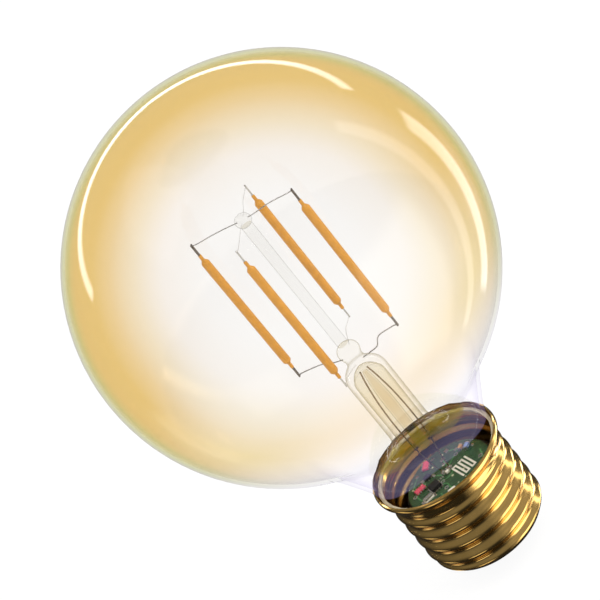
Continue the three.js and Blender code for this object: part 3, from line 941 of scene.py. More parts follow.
# Width and depth of the thick (True) and thin (False) pins, and radii of the wires they carry.
PIN_SIZES = {True: (0.64 * MM, 0.3 * MM), False: (0.34 * MM, 0.2 * MM)}
ANCHOR_R = {True: 0.1 * MM, False: 0.035 * MM}
PRESS_LEAD_R = {True: 0.12 * MM, False: 0.05 * MM}
BOARD_LEAD_R = 0.16 * MM
WELD_DEPTH = 0.15 * MM
PIN_TUCK = 0.6 * MM


def filament_angle(number):
    """The direction of a filament from the bulb's axis, in degrees from +X."""
    return FIRST_ANGLE + 90 * (number - 1)


def thick(number):
    """Filaments 1 and 3 have thick pins."""
    return number % 2 == 1


def filament_coat(number, radius):
    """A dipped coat with a narrow collar over the start of each pin. From each end inwards the
    radius is the collar's, then rises by a soft step to the coat's full radius over SHOULDER. A
    slow ripple of 1 part in 60 runs along the full part."""
    start, end = COAT_LOW_Z - COLLAR, COAT_HIGH_Z + COLLAR
    near = np.concatenate([[0, 0.12], np.linspace(0.3, COLLAR / MM + SHOULDER / MM, 22)]) * MM
    z = np.concatenate([start + near, np.linspace(start, end, 60)[8:-8], (end - near)[::-1]])
    inwards = np.minimum(z - start, end - z)
    rise = soft_step(inwards, COLLAR, COLLAR + SHOULDER) ** 0.8
    collar = COLLAR_R * np.clip(0.6 + inwards / (0.3 * MM), 0.6, 1)
    ripple = 1 - 0.016 * np.sin(z / MM * 1.9 + number) ** 2 * rise
    place = ring_place(FILAMENT_CIRCLE_R, filament_angle(number))
    path = np.stack([0 * z + place[0], 0 * z + place[1], z], 1)
    return tube(path, (collar + (radius - COLLAR_R) * rise) * ripple, 28)


def filament_pin(number, low_z, high_z):
    """A flat strip with rounded edges, its broad face square to the bulb's radius."""
    width, depth = PIN_SIZES[thick(number)]
    angle = filament_angle(number)
    strip = block(width, depth, high_z - low_z, 0.07 * MM)
    return moved(strip, ring_place(FILAMENT_CIRCLE_R, angle, low_z), angle + 90)


def anchor_route(number, radius):
    """From the top pin's inner face to the bead."""
    angle = filament_angle(number)
    weld_r = FILAMENT_CIRCLE_R - WELD_DEPTH - radius
    return np.array(
        [
            ring_place(weld_r, angle, PIN_HIGH_Z - 0.35 * MM),
            ring_place(weld_r - 1.2 * MM, angle + 0.6, PIN_HIGH_Z - 0.42 * MM),
            ring_place(6 * MM, angle + 1.4, BEAD_Z + 0.35 * MM),
            ring_place(3 * MM, angle - 1, BEAD_Z + 0.12 * MM),
            ring_place(1.2 * MM, angle, BEAD_Z),
        ]
    )


INNER_ROUTES = {
    1: ((160, 6, 56.2), (164, 4, 55.5), (165, 1.9, 54.9)),
    2: ((247, 6, 55.2), (247, 1.4, 53.3)),
    3: ((338, 6.6, 55.8), (342, 5, 53.8), (345, 3.2, 53.3), (345, 1.4, 53.1)),
    4: ((66, 5.2, 57.2), (62, 1.9, 56.0)),
}


def inner_route(number, radius):
    """From the bottom pin's inner face to the press at the top of the stem."""
    weld_r = FILAMENT_CIRCLE_R - WELD_DEPTH - radius
    angle = filament_angle(number)
    start = [
        ring_place(weld_r, angle, PIN_LOW_Z + 0.35 * MM),
        ring_place(weld_r - 0.8 * MM, angle, PIN_LOW_Z + 0.42 * MM),
    ]
    rest = [ring_place(r * MM, a, z * MM) for a, r, z in INNER_ROUTES[number]]
    return np.array(start + rest)


def outer_route(side):
    """From the stem's press down inside its tube to the board."""
    return np.array(
        [
            [side * 0.85, 0, 50.8],
            [side * 1.4, 0, 47.5],
            [side * 1.95, 0, 42],
            [side * 2.1, 0.05, 35],
            [side * 1.8, 0.5, 29],
            [side * 1.25, 1.4, 24],
            [side * 0.8 + 0.3, 2.2, 20.45],
        ]
    ) * MM


# ---- screw cap ---------------------------------------------------------------------------------
THREAD_LOW_Z = 6.2 * MM
THREAD_HIGH_Z = 22.6 * MM
THREAD_FADE = 1.4 * MM


def thread_height(cap, angle, z):
    """The thread's rise over its middle radius: half its depth times the cosine of
    (2 pi z / pitch - angle), faded in and out by soft steps at its two ends."""
    fade_in = soft_step(z, THREAD_LOW_Z, THREAD_LOW_Z + THREAD_FADE)
    fade_out = 1 - soft_step(z, THREAD_HIGH_Z - THREAD_FADE, THREAD_HIGH_Z)
    wave = np.cos(TURN * z / cap.thread_pitch - angle)
    return (cap.crest_radius - cap.root_radius) / 2 * wave * fade_in * fade_out


def shell_line(cap, inset, rows):
    """One side of the brass sheet: the rounded end, the thread's middle radius, the smooth band and
    the flared lip."""
    mean_r = (cap.crest_radius + cap.root_radius) / 2 / MM
    base = np.array(
        [
            (9.9, 4.6 + inset), (10.9 - inset * 0.4, 4.88 + inset),
            (11.75 - inset * 0.8, 5.45 + inset * 0.6), (12.3 - inset, 6.2 + inset * 0.3),
        ]
    )
    thread_z = np.linspace(6.5, 22.5, rows)
    thread = np.stack([0 * thread_z + mean_r - inset, thread_z], 1)
    top = np.array(
        [
            (12.72 - inset, 22.8), (12.8 - inset, 23.4),
            (12.98 - inset, 24.0), (13.5 - inset, 24.7), (13.96 - inset, 25.25),
            (14.1 - inset * 0.9, 25.75), (14.02 - inset * 0.7, 26.2), (13.75 - inset * 0.4, 26.48),
        ]
    )
    line = np.concatenate([smooth(base, 5), thread, smooth(top, 6)])
    return line * MM


def screw_shell(cap):
    """The sheet's outer and inner lines as one closed skin, with the thread added to both."""
    inset = cap.sheet / MM
    profile = np.concatenate([shell_line(cap, 0, 150), shell_line(cap, inset, 90)[::-1]])
    segments = 240
    angle = np.arange(segments) / segments * TURN
    z = profile[:, 1:]
    radius = profile[:, :1] + thread_height(cap, angle, z)
    grid = np.stack([radius * np.cos(angle), radius * np.sin(angle), z + 0 * angle], -1)
    return skin(grid, loop_rows=True)


CONTACT_PROFILE = (
    (0, 0), (3.2, 0), (4.2, 0.35), (4.6, 0.88), (4.1, 0.9), (3.2, 0.5), (0, 0.5),
)
INSULATOR_PROFILE = (
    (1.4, 1.0), (4.9, 1.0), (5.5, 1.4), (7.2, 2.4), (8.9, 3.6), (9.3, 4.3), (9.5, 5.3),
    (10.5, 5.55), (10.7, 6.2), (1.4, 6.2),
)
CUP_PROFILE = (
    (2.4, 6.9), (9.8, 6.9), (10.3, 7.5), (10.3, 19.35), (8.5, 19.35), (8.8, 17.9), (8.8, 7.8),
    (2.4, 7.8),
)
CEMENT_PROFILE = (
    (12.6, 24.9), (13.05, 24.9), (13.3, 25.2), (13.35, 25.42), (12.6, 25.42),
)


def turned(profile, ease, segments=96):
    """A piece turned from a profile in millimetres, with its corners eased."""
    return revolved(eased(profile, ease) * MM, segments)


def lumpy(shape, amount):
    """The shape with each point moved along its own radius by a sum of three slow sine waves."""
    points = shape[0].copy()
    x, y, z = (points[:, k] / MM for k in range(3))
    wave = np.sin(2.1 * x + 1.3 * z) + np.sin(2.7 * y - 1.9 * z) + np.sin(1.7 * (x - y) + 0.6)
    points[:, :2] *= (1 - amount * (wave[:, None] + 3) / 6)
    return points, *shape[1:]


# ---- driver board ------------------------------------------------------------------------------
def on_board(shape, x, y, turn=0.0, lift=0.0):
    """The shape placed on the board's upper face, at x and y in millimetres."""
    return moved(shape, [x * MM, y * MM, BOARD_TOP_Z + lift * MM], turn)


def mm_block(width, depth, height, rounding):
    """A rounded block sized in millimetres."""
    return block(width * MM, depth * MM, height * MM, rounding * MM)


def row_of(shape, count, pitch, x, y, turn=0.0, lift=0.0, across=0.0):
    """Copies of a shape in a straight row centred on x and y, pitch apart along the turned X axis
    and moved by across along the turned Y axis, all in millimetres."""
    c, s = math.cos(math.radians(turn)), math.sin(math.radians(turn))
    steps = (np.arange(count) - (count - 1) / 2) * pitch
    return [
        on_board(shape, x + step * c - across * s, y + step * s + across * c, turn, lift)
        for step in steps
    ]


def coated(shapes, finish_name):
    """Gives every shape in a list the same finish."""
    return [(shape, finish_name) for shape in shapes]


BOARD_PADS = (
    (1.4, 0.95, 0.5, 0.9), (0.75, 2.45, 1.1, 0.8), (-0.4, 1.5, 0.9, 0.8), (-1.15, 0.85, 0.35, 0.6),
    (-1.7, 0.8, 0.35, 0.6), (-2.25, 0.75, 0.35, 0.6), (-4.9, 3.9, 0.7, 0.9), (-2.4, 3.2, 0.6, 0.9),
    (4.2, 5.6, 0.8, 0.7), (6.0, 4.0, 0.6, 0.8), (7.3, 3.1, 0.6, 0.8), (-7.3, -2.2, 0.5, 1.2),
    (-4.5, -2.3, 0.5, 1.2), (-0.2, -5.2, 0.5, 1.1), (-2.4, -5.2, 0.5, 1.1), (0.9, 5.6, 1.2, 0.7),
    (2.6, 7.2, 0.9, 0.9), (-0.6, 7.9, 0.8, 0.5), (-5.2, 6.4, 0.7, 0.7), (0.6, 4.1, 0.5, 0.9),
)
BOARD_TRACKS = (
    ((1.4, 0.6), (0.4, -0.4), (-1.7, -0.44)),
    ((-2.2, -0.9), (-1.2, -1.9), (-1.2, -3.6), (-0.4, -4.6)),
    ((-4.9, 3.4), (-4.9, 1.6), (-4.2, 0.9)),
    ((-2.4, 3.0), (-1.2, 1.8), (-1.2, 1.1)),
    ((0.9, 5.3), (0.9, 3.0)),
    ((2.6, 7.0), (4.2, 5.8)),
    ((-5.2, 6.2), (-6.9, 4.4), (-6.9, 2.9)),
    ((4.4, 5.2), (2.2, 3.4), (1.2, 2.7)),
    ((-7.2, -1.4), (-7.6, 0.6), (-7.1, 1.2)),
    ((-0.6, -7.9), (2.8, -7.6), (5.6, -5.9), (7.4, -3.2), (7.9, 0.4)),
    ((-3.4, -3.2), (-3.4, -6.2), (-1.9, -7.6)),
)


def board_parts():
    """The round panel with an eased edge: pads, rings and cones of solder, and raised tracks."""
    thick_mm = (BOARD_TOP_Z - float(low("driver_board")[2])) / MM
    radius, top = BOARD_R / MM, BOARD_TOP_Z / MM
    profile = ((0, top - thick_mm), (radius, top - thick_mm), (radius, top), (0, top))
    parts = [(turned(profile, 0.12, 128), "solder_mask")]
    for x, y, width, depth in BOARD_PADS:
        parts.append((on_board(mm_block(width, depth, 0.07, 0.03), x, y, 12), "bright_solder"))
    track_z = BOARD_TOP_Z - 0.05 * MM, BOARD_TOP_Z + 0.02 * MM
    for path in BOARD_TRACKS:
        track = ribbon(np.array(path) * MM, 0.22 * MM, *track_z)
        parts.append((track, "mask_over_copper"))
    ring = turned(((0.25, -0.05), (0.5, -0.05), (0.5, 0.05), (0.25, 0.05)), 0.02, 24)
    for x, y in ((-1.7, -0.44), (-1.9, -2.9), (3.6, 4.2), (7.2, -1.6), (-7.9, 1.2), (-3.1, -7.4)):
        parts.append((on_board(ring, x, y), "bright_solder"))
    cone = turned(((0, -0.05), (0.62, -0.05), (0.3, 0.28), (0.2, 0.45), (0, 0.45)), 0.08, 24)
    parts += coated([on_board(cone, 1.1, 2.2), on_board(cone, -0.5, 2.2)], "bright_solder")
    return parts


def controller_parts():
    """A square chip with a bright land round it and four wide legs on two sides."""
    x, y, turn = -3.5, -0.5, 8
    land = on_board(mm_block(2.75, 2.55, 0.1, 0.04), x, y, turn)
    body = on_board(mm_block(2.35, 2.15, 0.8, 0.1), x, y, turn, 0.1)
    dot = turned(((0, 0), (0.16, 0), (0.16, 0.02), (0, 0.02)), 0.005, 20)
    dot = on_board(dot, x - 0.8, y + 0.7, 0, 0.895)
    legs = row_of(mm_block(0.3, 3.1, 0.22, 0.05), 4, 0.6, x, y, turn)
    return [(body, "black_epoxy"), (dot, "grey_sleeve"), *coated([land, *legs], "bright_solder")]


def resistor_pack_parts(x, y, turn):
    """A lacquered block with four elements standing a little proud, each between two silvery
    ends."""
    body = on_board(mm_block(2.4, 1.35, 0.5, 0.07), x, y, turn, 0.05)
    elements = row_of(mm_block(0.42, 1.1, 0.1, 0.04), 4, 0.6, x, y, turn, 0.5)
    ends = []
    for across in (-0.82, 0.82):
        ends += row_of(mm_block(0.34, 0.5, 0.42, 0.06), 4, 0.6, x, y, turn, 0.0, across)
    return [*coated([body, *elements], "red_lacquer"), *coated(ends, "bright_solder")]


def antenna_parts(bars):
    """One flat strip that folds back and forth: bars of 4.6 mm on a pitch of 0.85 mm."""
    pitch, length, width = 0.85, 4.6, 0.42
    x, y, turn = 3.4, -0.9, 12
    side = (length - width) / 2
    steps = (np.arange(bars) - (bars - 1) / 2) * pitch
    ends = np.where(np.arange(bars) % 2 == 0, 1, -1)
    path = np.stack([np.stack([steps, -ends * side], 1), np.stack([steps, ends * side], 1)], 1)
    path = path.reshape(-1, 2)
    path[[0, -1], 1] *= 1 + width / 2 / side
    strip = ribbon(path * MM, width * MM, -0.04 * MM, 0.08 * MM)
    return [(on_board(strip, x, y, turn), "bright_tin")]


def chip_parts(x, y, size, turn, finish_name):
    """A small ceramic block with wrapped metal ends."""
    width, depth, height = size
    ends = 0.28
    body = on_board(mm_block(width - 0.3, depth - 0.08, height - 0.06, 0.05), x, y, turn, 0.03)
    cap = mm_block(ends, depth, height, 0.07)
    return [(body, finish_name), *coated(row_of(cap, 2, width - ends, x, y, turn), "bright_solder")]


def transistor_parts():
    """A black body with two short legs on one side and one on the other."""
    x, y, turn = -3.6, 3.6, 25
    body = on_board(mm_block(1.5, 0.95, 0.75, 0.12), x, y, turn, 0.06)
    legs = row_of(mm_block(0.28, 0.4, 0.2, 0.06), 2, 0.9, x, y, turn, 0.0, -0.62)
    legs += row_of(mm_block(0.28, 0.4, 0.2, 0.06), 1, 0.9, x, y, turn, 0.0, 0.62)
    return [(body, "black_epoxy"), *coated(legs, "bright_solder")]


def crystal_parts():
    """A ceramic tray with a seam-welded metal lid."""
    x, y, turn = -5.9, -2.2, 10
    tray = on_board(mm_block(2.2, 1.4, 0.35, 0.06), x, y, turn)
    lid = on_board(mm_block(1.95, 1.15, 0.4, 0.12), x, y, turn, 0.3)
    return [(tray, "white_ceramic"), (lid, "bright_solder")]


def filter_parts():
    """A ceramic block with plated bands on all four corners."""
    x, y = -1.3, -5.2
    body = on_board(mm_block(1.7, 1.1, 0.48, 0.06), x, y, 0, 0.02)
    corners = row_of(mm_block(0.35, 0.3, 0.5, 0.06), 2, 1.45, x, y, 0, 0, 0.45)
    corners += row_of(mm_block(0.35, 0.3, 0.5, 0.06), 2, 1.45, x, y, 0, 0, -0.45)
    return [(body, "white_ceramic"), *coated(corners, "bright_solder")]


# ---- parts under the board ---------------------------------------------------------------------
def capacitor_parts():
    """An upright can in a shrink sleeve, with a rolled groove near its seal and a bare metal disc
    on its free end."""
    x, y = 3.6 * MM, 2.6 * MM
    top, low_z = high("bulk_capacitor")[2] / MM, low("bulk_capacitor")[2] / MM
    can = (
        (0, low_z), (3.1, low_z), (3.6, low_z + 0.5), (3.6, top - 2.2), (3.3, top - 1.8),
        (3.3, top - 1.5), (3.6, top - 1.1), (3.6, top - 0.3), (3.0, top), (0, top),
    )
    disc = turned(((0, low_z), (2.5, low_z), (2.5, low_z + 0.2), (0, low_z + 0.2)), 0.02, 48)
    return [
        (moved(turned(can, 0.25, 64), [x, y, 0]), "grey_sleeve"),
        (moved(disc, [x, y, 0]), "bright_solder"),
    ]


def choke_parts():
    """A ferrite drum whose waist carries a winding: the winding's radius is a row of half rounds,
    one for each turn of wire."""
    x, y = -4.9 * MM, 2.8 * MM
    top, low_z = high("choke_coil")[2] / MM, low("choke_coil")[2] / MM
    drum = (
        (0, low_z), (2.3, low_z), (2.3, low_z + 0.9), (1.5, low_z + 1.1), (1.5, top - 1.1),
        (2.3, top - 0.9), (2.3, top), (0, top),
    )
    turns = 18
    z = np.linspace(low_z + 1.05, top - 1.05, turns * 6 + 1)
    share = (z - z[0]) / (z[-1] - z[0]) * turns * math.pi
    outline = np.stack([2.0 + 0.12 * np.abs(np.sin(share)), z], 1)
    winding = np.concatenate([[[0, z[0]]], outline, [[0, z[-1]]]])
    return [
        (moved(turned(drum, 0.1, 48), [x, y, 0]), "black_epoxy"),
        (moved(revolved(winding * MM, 48), [x, y, 0]), "enamelled_copper"),
    ]


def rectifier_parts():
    """A flat black body with two legs on each side, hanging from the board."""
    x, y = -3.8, -3.4
    top, low_z = high("bridge_rectifier")[2] / MM, low("bridge_rectifier")[2] / MM
    body = moved(mm_block(4.2, 3.0, top - low_z - 0.25, 0.15), [x * MM, y * MM, low_z * MM])
    legs = [
        moved(mm_block(0.6, 0.5, 0.3, 0.06), [(x + dx) * MM, (y + dy) * MM, (top - 0.45) * MM])
        for dx in (-1.3, 1.3)
        for dy in (-1.5, 1.5)
    ]
    return [(body, "black_epoxy"), *coated(legs, "bright_solder")]


def fuse_parts():
    """A dipped resistor body, waisted between its two end caps, with four painted bands."""
    x, y = 2.8 * MM, -5.4 * MM
    top, low_z = high("fuse_resistor")[2] / MM, low("fuse_resistor")[2] / MM
    z = np.linspace(low_z, top, 60)
    share = 2 * (z - low_z) / (top - low_z) - 1
    radius = 0.93 * (1 - share**20) ** 0.5 + 0.14 * share**4 * (1 - share**20)
    body = np.concatenate([[[0, low_z]], np.stack([radius, z], 1)[1:-1], [[0, top]]])
    parts = [(moved(revolved(body * MM, 40), [x, y, 0]), "green_lacquer")]
    bands = (
        (0.24, "red_lacquer"), (0.38, "black_epoxy"), (0.52, "tan_ceramic"), (0.74, "tan_ceramic"),
    )
    for place, finish_name in bands:
        middle_z = low_z + place * (top - low_z)
        lower, upper = middle_z - 0.3, middle_z + 0.3
        band = ((0.8, lower), (0.955, lower), (0.955, upper), (0.8, upper))
        parts.append((moved(turned(band, 0.02, 40), [x, y, 0]), finish_name))
    return parts


FUSE_ROUTE = ((2.8, -5.4, 16.2), (2.8, -5.4, 17.8), (2.8, -5.4, 19.2))
CONTACT_ROUTE = (
    (2.8, -5.4, 9.3), (2.6, -4.9, 8.45), (1, -1.9, 8.2), (0.1, -0.2, 7), (0, 0, 5), (0, 0, 3),
    (0, 0, 1.1),
)
SHELL_ROUTE = ((8.6, 0.1), (9.0, 0.6), (9.7, 1.0), (10.9, 1.0))
SHELL_LEAD_ANGLE = 262
TINNED_LEAD_R = 0.3 * MM
SHELL_LEAD_R = 0.25 * MM


# ---- operators ---------------------------------------------------------------------------------
class MakeGlass(Operator):
    """Makes the globe, the stem with its flare, the exhaust tube, the rod and its bead."""

    bl_idname = "bulb.make_glass"
    bl_label = "Glass"

    def execute(self, context):
        glass = context.scene.bulb_glass
        film, clear = "amber_film_glass", "stem_clear_glass"
        piece("globe_glass", [(glass_globe(glass), film)], ["glass_envelope"])
        piece("stem_glass_tube", [(blown(STEM_PROFILE, 96), clear)], ["stem"])
        exhaust = blown(EXHAUST_PROFILE, 48)
        piece("exhaust_glass", [(exhaust, clear)], ["exhaust_tube"])
        foot, tip = low("support_rod")[2], high("support_rod")[2]
        rod_z = np.linspace(foot, tip, 40)
        share = (rod_z - foot) / (tip - foot)
        rod_r = ROD_R * (1 - 0.06 * np.sin(share * math.pi))
        axis = np.stack([0 * rod_z, 0 * rod_z, rod_z], 1)
        piece("rod_glass", [(tube(axis, rod_r, 40), clear)], ["support_rod"])
        piece("bead_glass", [(rod_bead(), clear)], ["rod_bead"])
        return {"FINISHED"}


class MakeFilaments(Operator):
    """Makes the four filaments, each with a coat and two flat pins."""

    bl_idname = "bulb.make_filaments"
    bl_label = "Filaments"

    def execute(self, context):
        radius = context.scene.bulb_filaments.coat_radius
        for number in FILAMENTS:
            name = f"led_filament_{number}"
            coat = filament_coat(number, radius)
            piece(f"filament_coat_{number}", [(coat, "filament_coat")], [name])
            metal = "dark_pin_metal" if thick(number) else "pale_pin_metal"
            for end, low_z, high_z in (
                ("bottom", PIN_LOW_Z, COAT_LOW_Z + PIN_TUCK),
                ("top", COAT_HIGH_Z - PIN_TUCK, PIN_HIGH_Z),
            ):
                strip = filament_pin(number, low_z, high_z)
                piece(f"filament_pin_{number}_{end}", [(strip, metal)], [f"{name}_{end}_pin"])
        return {"FINISHED"}


class MakeWires(Operator):
    """Makes the anchor wires, the leads from the filaments to the press and the two leads from the
    press to the board."""

    bl_idname = "bulb.make_wires"
    bl_label = "Wires"

    def execute(self, context):
        for number in FILAMENTS:
            radius = ANCHOR_R[thick(number)]
            anchor = wire(anchor_route(number, radius), radius)
            metal = "nickel_wire" if thick(number) else "pale_pin_metal"
            piece(f"anchor_{number}", [(anchor, metal)], [f"anchor_wire_{number}"])
            radius = PRESS_LEAD_R[thick(number)]
            lead = wire(inner_route(number, radius), radius)
            piece(f"press_lead_{number}", [(lead, metal)], [f"inner_lead_{number}"])
        for number, side in ((1, -1), (2, 1)):
            lead = wire(outer_route(side), BOARD_LEAD_R)
            parts = [(lead, "copper_clad_wire")]
            piece(f"board_lead_{number}", parts, [f"outer_lead_{number}"])
        return {"FINISHED"}


class MakeCap(Operator):
    """Makes the threaded brass shell, the centre contact with its solder, the black glass
    insulator, the cup inside the cap and the cement ring."""

    bl_idname = "bulb.make_cap"
    bl_label = "Screw Cap"

    def execute(self, context):
        cap = context.scene.bulb_cap
        shell = screw_shell(cap)
        piece("threaded_shell", [(shell, "polished_brass")], ["screw_shell"])
        contact = turned(CONTACT_PROFILE, 0.2)
        piece("contact_button", [(contact, "contact_brass")], ["centre_contact"])
        black = turned(INSULATOR_PROFILE, 0.25)
        piece("vitrite_insulator", [(black, "black_vitrite")], ["insulator"])
        cup = turned(CUP_PROFILE, 0.3)
        piece("board_cup", [(cup, "black_cup_plastic")], ["insulating_cup"])
        ring = lumpy(turned(CEMENT_PROFILE, 0.12, 160), 0.008)
        piece("cement_ring", [(ring, "capping_cement")], ["cap_cement"])
        solder = turned(((0, 0.55), (0.88, 0.55), (0.8, 0.85), (0.45, 1.12), (0, 1.15)), 0.15, 40)
        piece("solder_dot", [(solder, "bright_solder")], ["contact_solder"])
        return {"FINISHED"}


class MakeBoard(Operator):
    """Makes the driver board with every part on its upper face."""

    bl_idname = "bulb.make_board"
    bl_label = "Driver Board"

    def execute(self, context):
        piece("board_panel", board_parts(), ["driver_board"])
        piece("controller_chip", controller_parts(), ["controller_ic"])
        for number, x, y, turn in ((1, -2.4, 7.2, 60), (2, -6.2, 1.9, 12)):
            parts = resistor_pack_parts(x, y, turn)
            piece(f"red_pack_{number}", parts, [f"resistor_pack_{number}"])
        bars = context.scene.bulb_board.antenna_bars
        piece("antenna_strip", antenna_parts(bars), ["printed_antenna"])
        blue = chip_parts(6.3, 3.6, (1.7, 0.9, 0.8), 40, "blue_lacquer")
        piece("blue_capacitor", blue, ["chip_capacitor_1"])
        tan = chip_parts(5.2, 4.7, (1.5, 0.8, 0.7), 40, "tan_ceramic")
        piece("tan_capacitor", tan, ["chip_capacitor_2"])
        inductor = chip_parts(0.2, 0.9, (1.3, 0.7, 0.6), 12, "white_ceramic")
        piece("chip_inductor", inductor, ["matching_inductor"])
        piece("small_transistor", transistor_parts(), ["switch_transistor"])
        piece("crystal_can", crystal_parts(), ["timing_crystal"])
        piece("ceramic_filter", filter_parts(), ["band_filter"])
        return {"FINISHED"}


class MakeUnderside(Operator):
    """Makes the parts that hang under the board, and the leads to the contact and the shell."""

    bl_idname = "bulb.make_underside"
    bl_label = "Parts Under The Board"

    def execute(self, context):
        piece("sleeved_capacitor", capacitor_parts(), ["bulk_capacitor"])
        piece("wound_choke", choke_parts(), ["choke_coil"])
        piece("flat_rectifier", rectifier_parts(), ["bridge_rectifier"])
        piece("banded_fuse", fuse_parts(), ["fuse_resistor"])
        fuse_wire = wire(np.array(FUSE_ROUTE) * MM, TINNED_LEAD_R)
        piece("fuse_wire", [(fuse_wire, "bright_solder")], ["fuse_lead"])
        contact_wire = wire(np.array(CONTACT_ROUTE) * MM, TINNED_LEAD_R)
        piece("contact_wire", [(contact_wire, "bright_solder")], ["contact_lead"])
        top = BOARD_TOP_Z / MM
        route = [ring_place(radius, SHELL_LEAD_ANGLE, top + rise) for radius, rise in SHELL_ROUTE]
        shell_wire = wire(np.array(route) * MM, SHELL_LEAD_R)
        piece("shell_wire", [(shell_wire, "bright_solder")], ["shell_lead"])
        return {"FINISHED"}


# ---- stage -------------------------------------------------------------------------------------
# Each window of light: (azimuth from, to, elevation from, to, softness, colour, strength), with
# the first five in degrees. Azimuth 0 is the camera's side, and +90 is +X.
WINDOWS = (
    (126, 234, 12, 16, 1.2, (1, 1, 1), 9.0),
    (113, 124, -50, -2, 2.0, (1, 1, 1), 6.0),
    (108, 131, -34, -15, 4.0, (0.80, 0.78, 1.0), 0.8),
    (205, 294, 47, 78, 4.0, (0.93, 0.90, 1.0), 1.0),
    (24, 74, -62, 0, 6.0, (1.0, 0.95, 0.84), 2.6),
    (5, 112, -70, 40, 10.0, (1.0, 0.95, 0.88), 0.22),
    (93, 101, -60, 30, 2.0, (1.0, 0.98, 0.92), 3.0),
    (246, 262, -44, -20, 4.0, (1.0, 0.92, 0.74), 1.1),
    (300, 328, -34, -14, 4.0, (1.0, 0.93, 0.80), 1.3),
)


# Brightness of the dim room by share of the way from straight down to straight up.
ROOM_LEVELS = ((0.0, 0.02), (0.42, 0.035), (0.5, 0.10), (0.62, 0.22), (1.0, 0.3))
FLOOR_HALF = 3.0
FLOOR_GLOW = 0.92
LAMP_PLACE, LAMP_SIZE, LAMP_POWER = (0.45, -0.35, 0.65), 0.5, 3.0
AIM_RIGHT, AIM_DOWN = 3.34 * MM, 5.76 * MM


def window_share(tree, value, start, end, soft):
    """1 between start and end and 0 outside, with smooth edges."""
    edges = [ranged(tree, value, at - soft, at + soft, soft=True) for at in (start, end)]
    return maths(tree, "SUBTRACT", *edges)


def degrees_of(tree, angle):
    """Radians turned to degrees."""
    return maths(tree, "MULTIPLY", angle, 180 / math.pi)


def light_room(stage):
    """A white surround for everything seen directly, through glass or by diffuse light. Rays that a
    surface has mirrored see a dim room with the windows of light, unless they have crossed one wall
    of glass, which is two surfaces."""
    world = bpy.data.worlds.new("light_room")
    bpy.context.scene.world = world
    world.use_nodes = True
    tree = world.node_tree
    tree.nodes.clear()
    x, y, z = axes_of(tree, add(tree, "ShaderNodeTexCoord").outputs["Generated"])
    angle = maths(tree, "ARCTAN2", x, maths(tree, "MULTIPLY", y, -1.0))
    azimuth = maths(tree, "FLOORED_MODULO", degrees_of(tree, angle), 360.0)
    elevation = degrees_of(tree, maths(tree, "ARCSINE", z))
    levels = [(at, (level, level, level)) for at, level in ROOM_LEVELS]
    total = ramped(tree, ranged(tree, elevation, -90.0, 90.0), levels)
    for az_from, az_to, el_from, el_to, soft, colour, strength in WINDOWS:
        across = window_share(tree, azimuth, az_from, az_to, soft)
        upward = window_share(tree, elevation, el_from, el_to, soft)
        lit = {0: [c * strength for c in colour], "Scale": maths(tree, "MULTIPLY", across, upward)}
        glow = add(tree, "ShaderNodeVectorMath", lit, operation="SCALE").outputs[0]
        both = {0: total, 1: glow}
        total = add(tree, "ShaderNodeVectorMath", both, operation="ADD").outputs[0]
    path = add(tree, "ShaderNodeLightPath").outputs
    bounced = maths(tree, "GREATER_THAN", path["Glossy Depth"], 0.5)
    in_wall = maths(tree, "COMPARE", path["Transmission Depth"], 2.0, 0.1)
    mirrored = maths(tree, "SUBTRACT", bounced, in_wall, clamp=True)
    seen = mixed(tree, mirrored, (stage.white, stage.white, stage.white), total)
    background = add(tree, "ShaderNodeBackground", {"Color": seen, "Strength": 1.0})
    output = add(tree, "ShaderNodeOutputWorld")
    tree.links.new(background.outputs[0], output.inputs["Surface"])


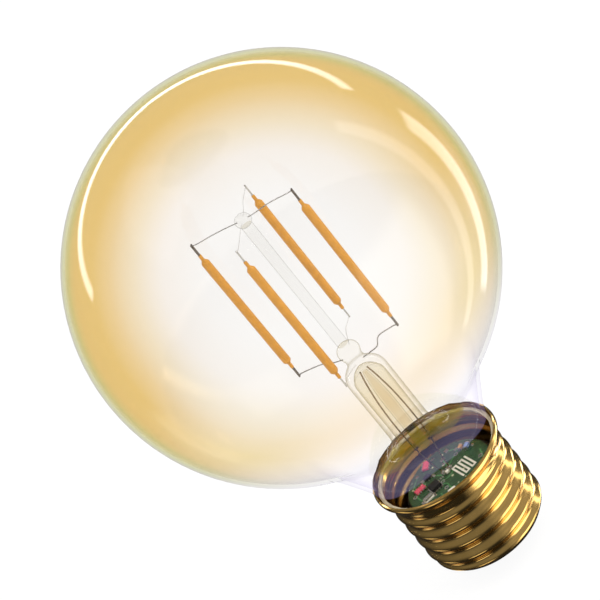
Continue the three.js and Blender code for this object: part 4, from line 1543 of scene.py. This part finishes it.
class SetStage(Operator):
    """Sets the pale floor, the light and the camera."""

    bl_idname = "bulb.set_stage"
    bl_label = "Floor, Light And Camera"

    def execute(self, context):
        scene = context.scene
        stage = scene.bulb_stage
        light_room(stage)
        scene.view_settings.view_transform = "Standard"

        material = base_finish(
            "pale_floor",
            (0.1, 0.1, 0.1, 1),
            0.9,
            Specular_IOR_Level=0.0,
            Emission_Color=opaque(WHITE),
            Emission_Strength=FLOOR_GLOW,
        )[0]
        half = FLOOR_HALF
        mesh = bpy.data.meshes.new("floor")
        corners = [(-half, -half, 0), (half, -half, 0), (half, half, 0), (-half, half, 0)]
        mesh.from_pydata(corners, [], [(0, 1, 2, 3)])
        mesh.materials.append(material)
        floor = bpy.data.objects.new("floor", mesh)
        floor.visible_glossy = False
        scene.collection.objects.link(floor)

        lamp = bpy.data.lights.new("soft_key", "AREA")
        lamp.size = LAMP_SIZE
        lamp.energy = LAMP_POWER
        key = bpy.data.objects.new("soft_key", lamp)
        key.matrix_world = aimed(LAMP_PLACE, (0, 0, GLOBE_Z))
        key.visible_glossy = key.visible_camera = key.visible_transmission = False
        scene.collection.objects.link(key)

        tilt, roll = stage.camera_elevation, stage.camera_roll
        back = np.array([0, -math.cos(tilt), math.sin(tilt)])
        right, up = np.array([1.0, 0, 0]), np.array([0, math.sin(tilt), math.cos(tilt)])
        image_right = math.cos(roll) * right - math.sin(roll) * up
        image_up = math.sin(roll) * right + math.cos(roll) * up
        centre = np.array([0, 0, GLOBE_Z])
        place = centre + back * stage.camera_distance
        target = centre + image_right * AIM_RIGHT - image_up * AIM_DOWN
        view = bpy.data.cameras.new("camera")
        view.lens = stage.camera_lens
        view.sensor_width = 36
        view.clip_start = 0.01
        camera = bpy.data.objects.new("camera", view)
        camera.matrix_world = aimed(place, target, image_up)
        scene.collection.objects.link(camera)
        scene.camera = camera
        return {"FINISHED"}


def aimed(place, target, up=(0, 0, 1)):
    """A place and turn that look from place at target: -Z along the line of sight, and Y as near
    to up as it can be."""
    z = np.subtract(place, target)
    z = z / np.linalg.norm(z)
    x = np.cross(up, z)
    x = x / np.linalg.norm(x)
    columns = np.stack([x, np.cross(z, x), z, place], 1)
    return Matrix([*columns.tolist(), [0, 0, 0, 1]])


# ---- panel and registration --------------------------------------------------------------------
MAKERS = (MakeGlass, MakeFilaments, MakeWires, MakeCap, MakeBoard, MakeUnderside, SetStage)
SETTINGS = {
    "bulb_glass": GlassSettings,
    "bulb_filaments": FilamentSettings,
    "bulb_cap": CapSettings,
    "bulb_board": BoardSettings,
    "bulb_stage": StageSettings,
}


class BulbPanel(Panel):
    """Lists the operators and the settings they read."""

    bl_idname = "VIEW3D_PT_filament_bulb"
    bl_label = "Filament Bulb"
    bl_space_type = "VIEW_3D"
    bl_region_type = "UI"
    bl_category = "Filament Bulb"

    def draw(self, context):
        for maker in MAKERS:
            self.layout.operator(maker.bl_idname)
        for name, group in SETTINGS.items():
            box = self.layout.box()
            for setting in group.__annotations__:
                box.prop(getattr(context.scene, name), setting)


def register():
    """Registers the settings, the operators and the panel."""
    for group in (*SETTINGS.values(), *MAKERS, BulbPanel):
        bpy.utils.register_class(group)
    for name, group in SETTINGS.items():
        setattr(bpy.types.Scene, name, PointerProperty(type=group))


def unregister():
    """Removes what register added."""
    for name in SETTINGS:
        delattr(bpy.types.Scene, name)
    for group in reversed((*SETTINGS.values(), *MAKERS, BulbPanel)):
        bpy.utils.unregister_class(group)


def main():
    """Makes every piece in order."""
    register()
    for maker in MAKERS:
        space, action = maker.bl_idname.split(".")
        getattr(getattr(bpy.ops, space), action)()


if __name__ == "__main__":
    main()
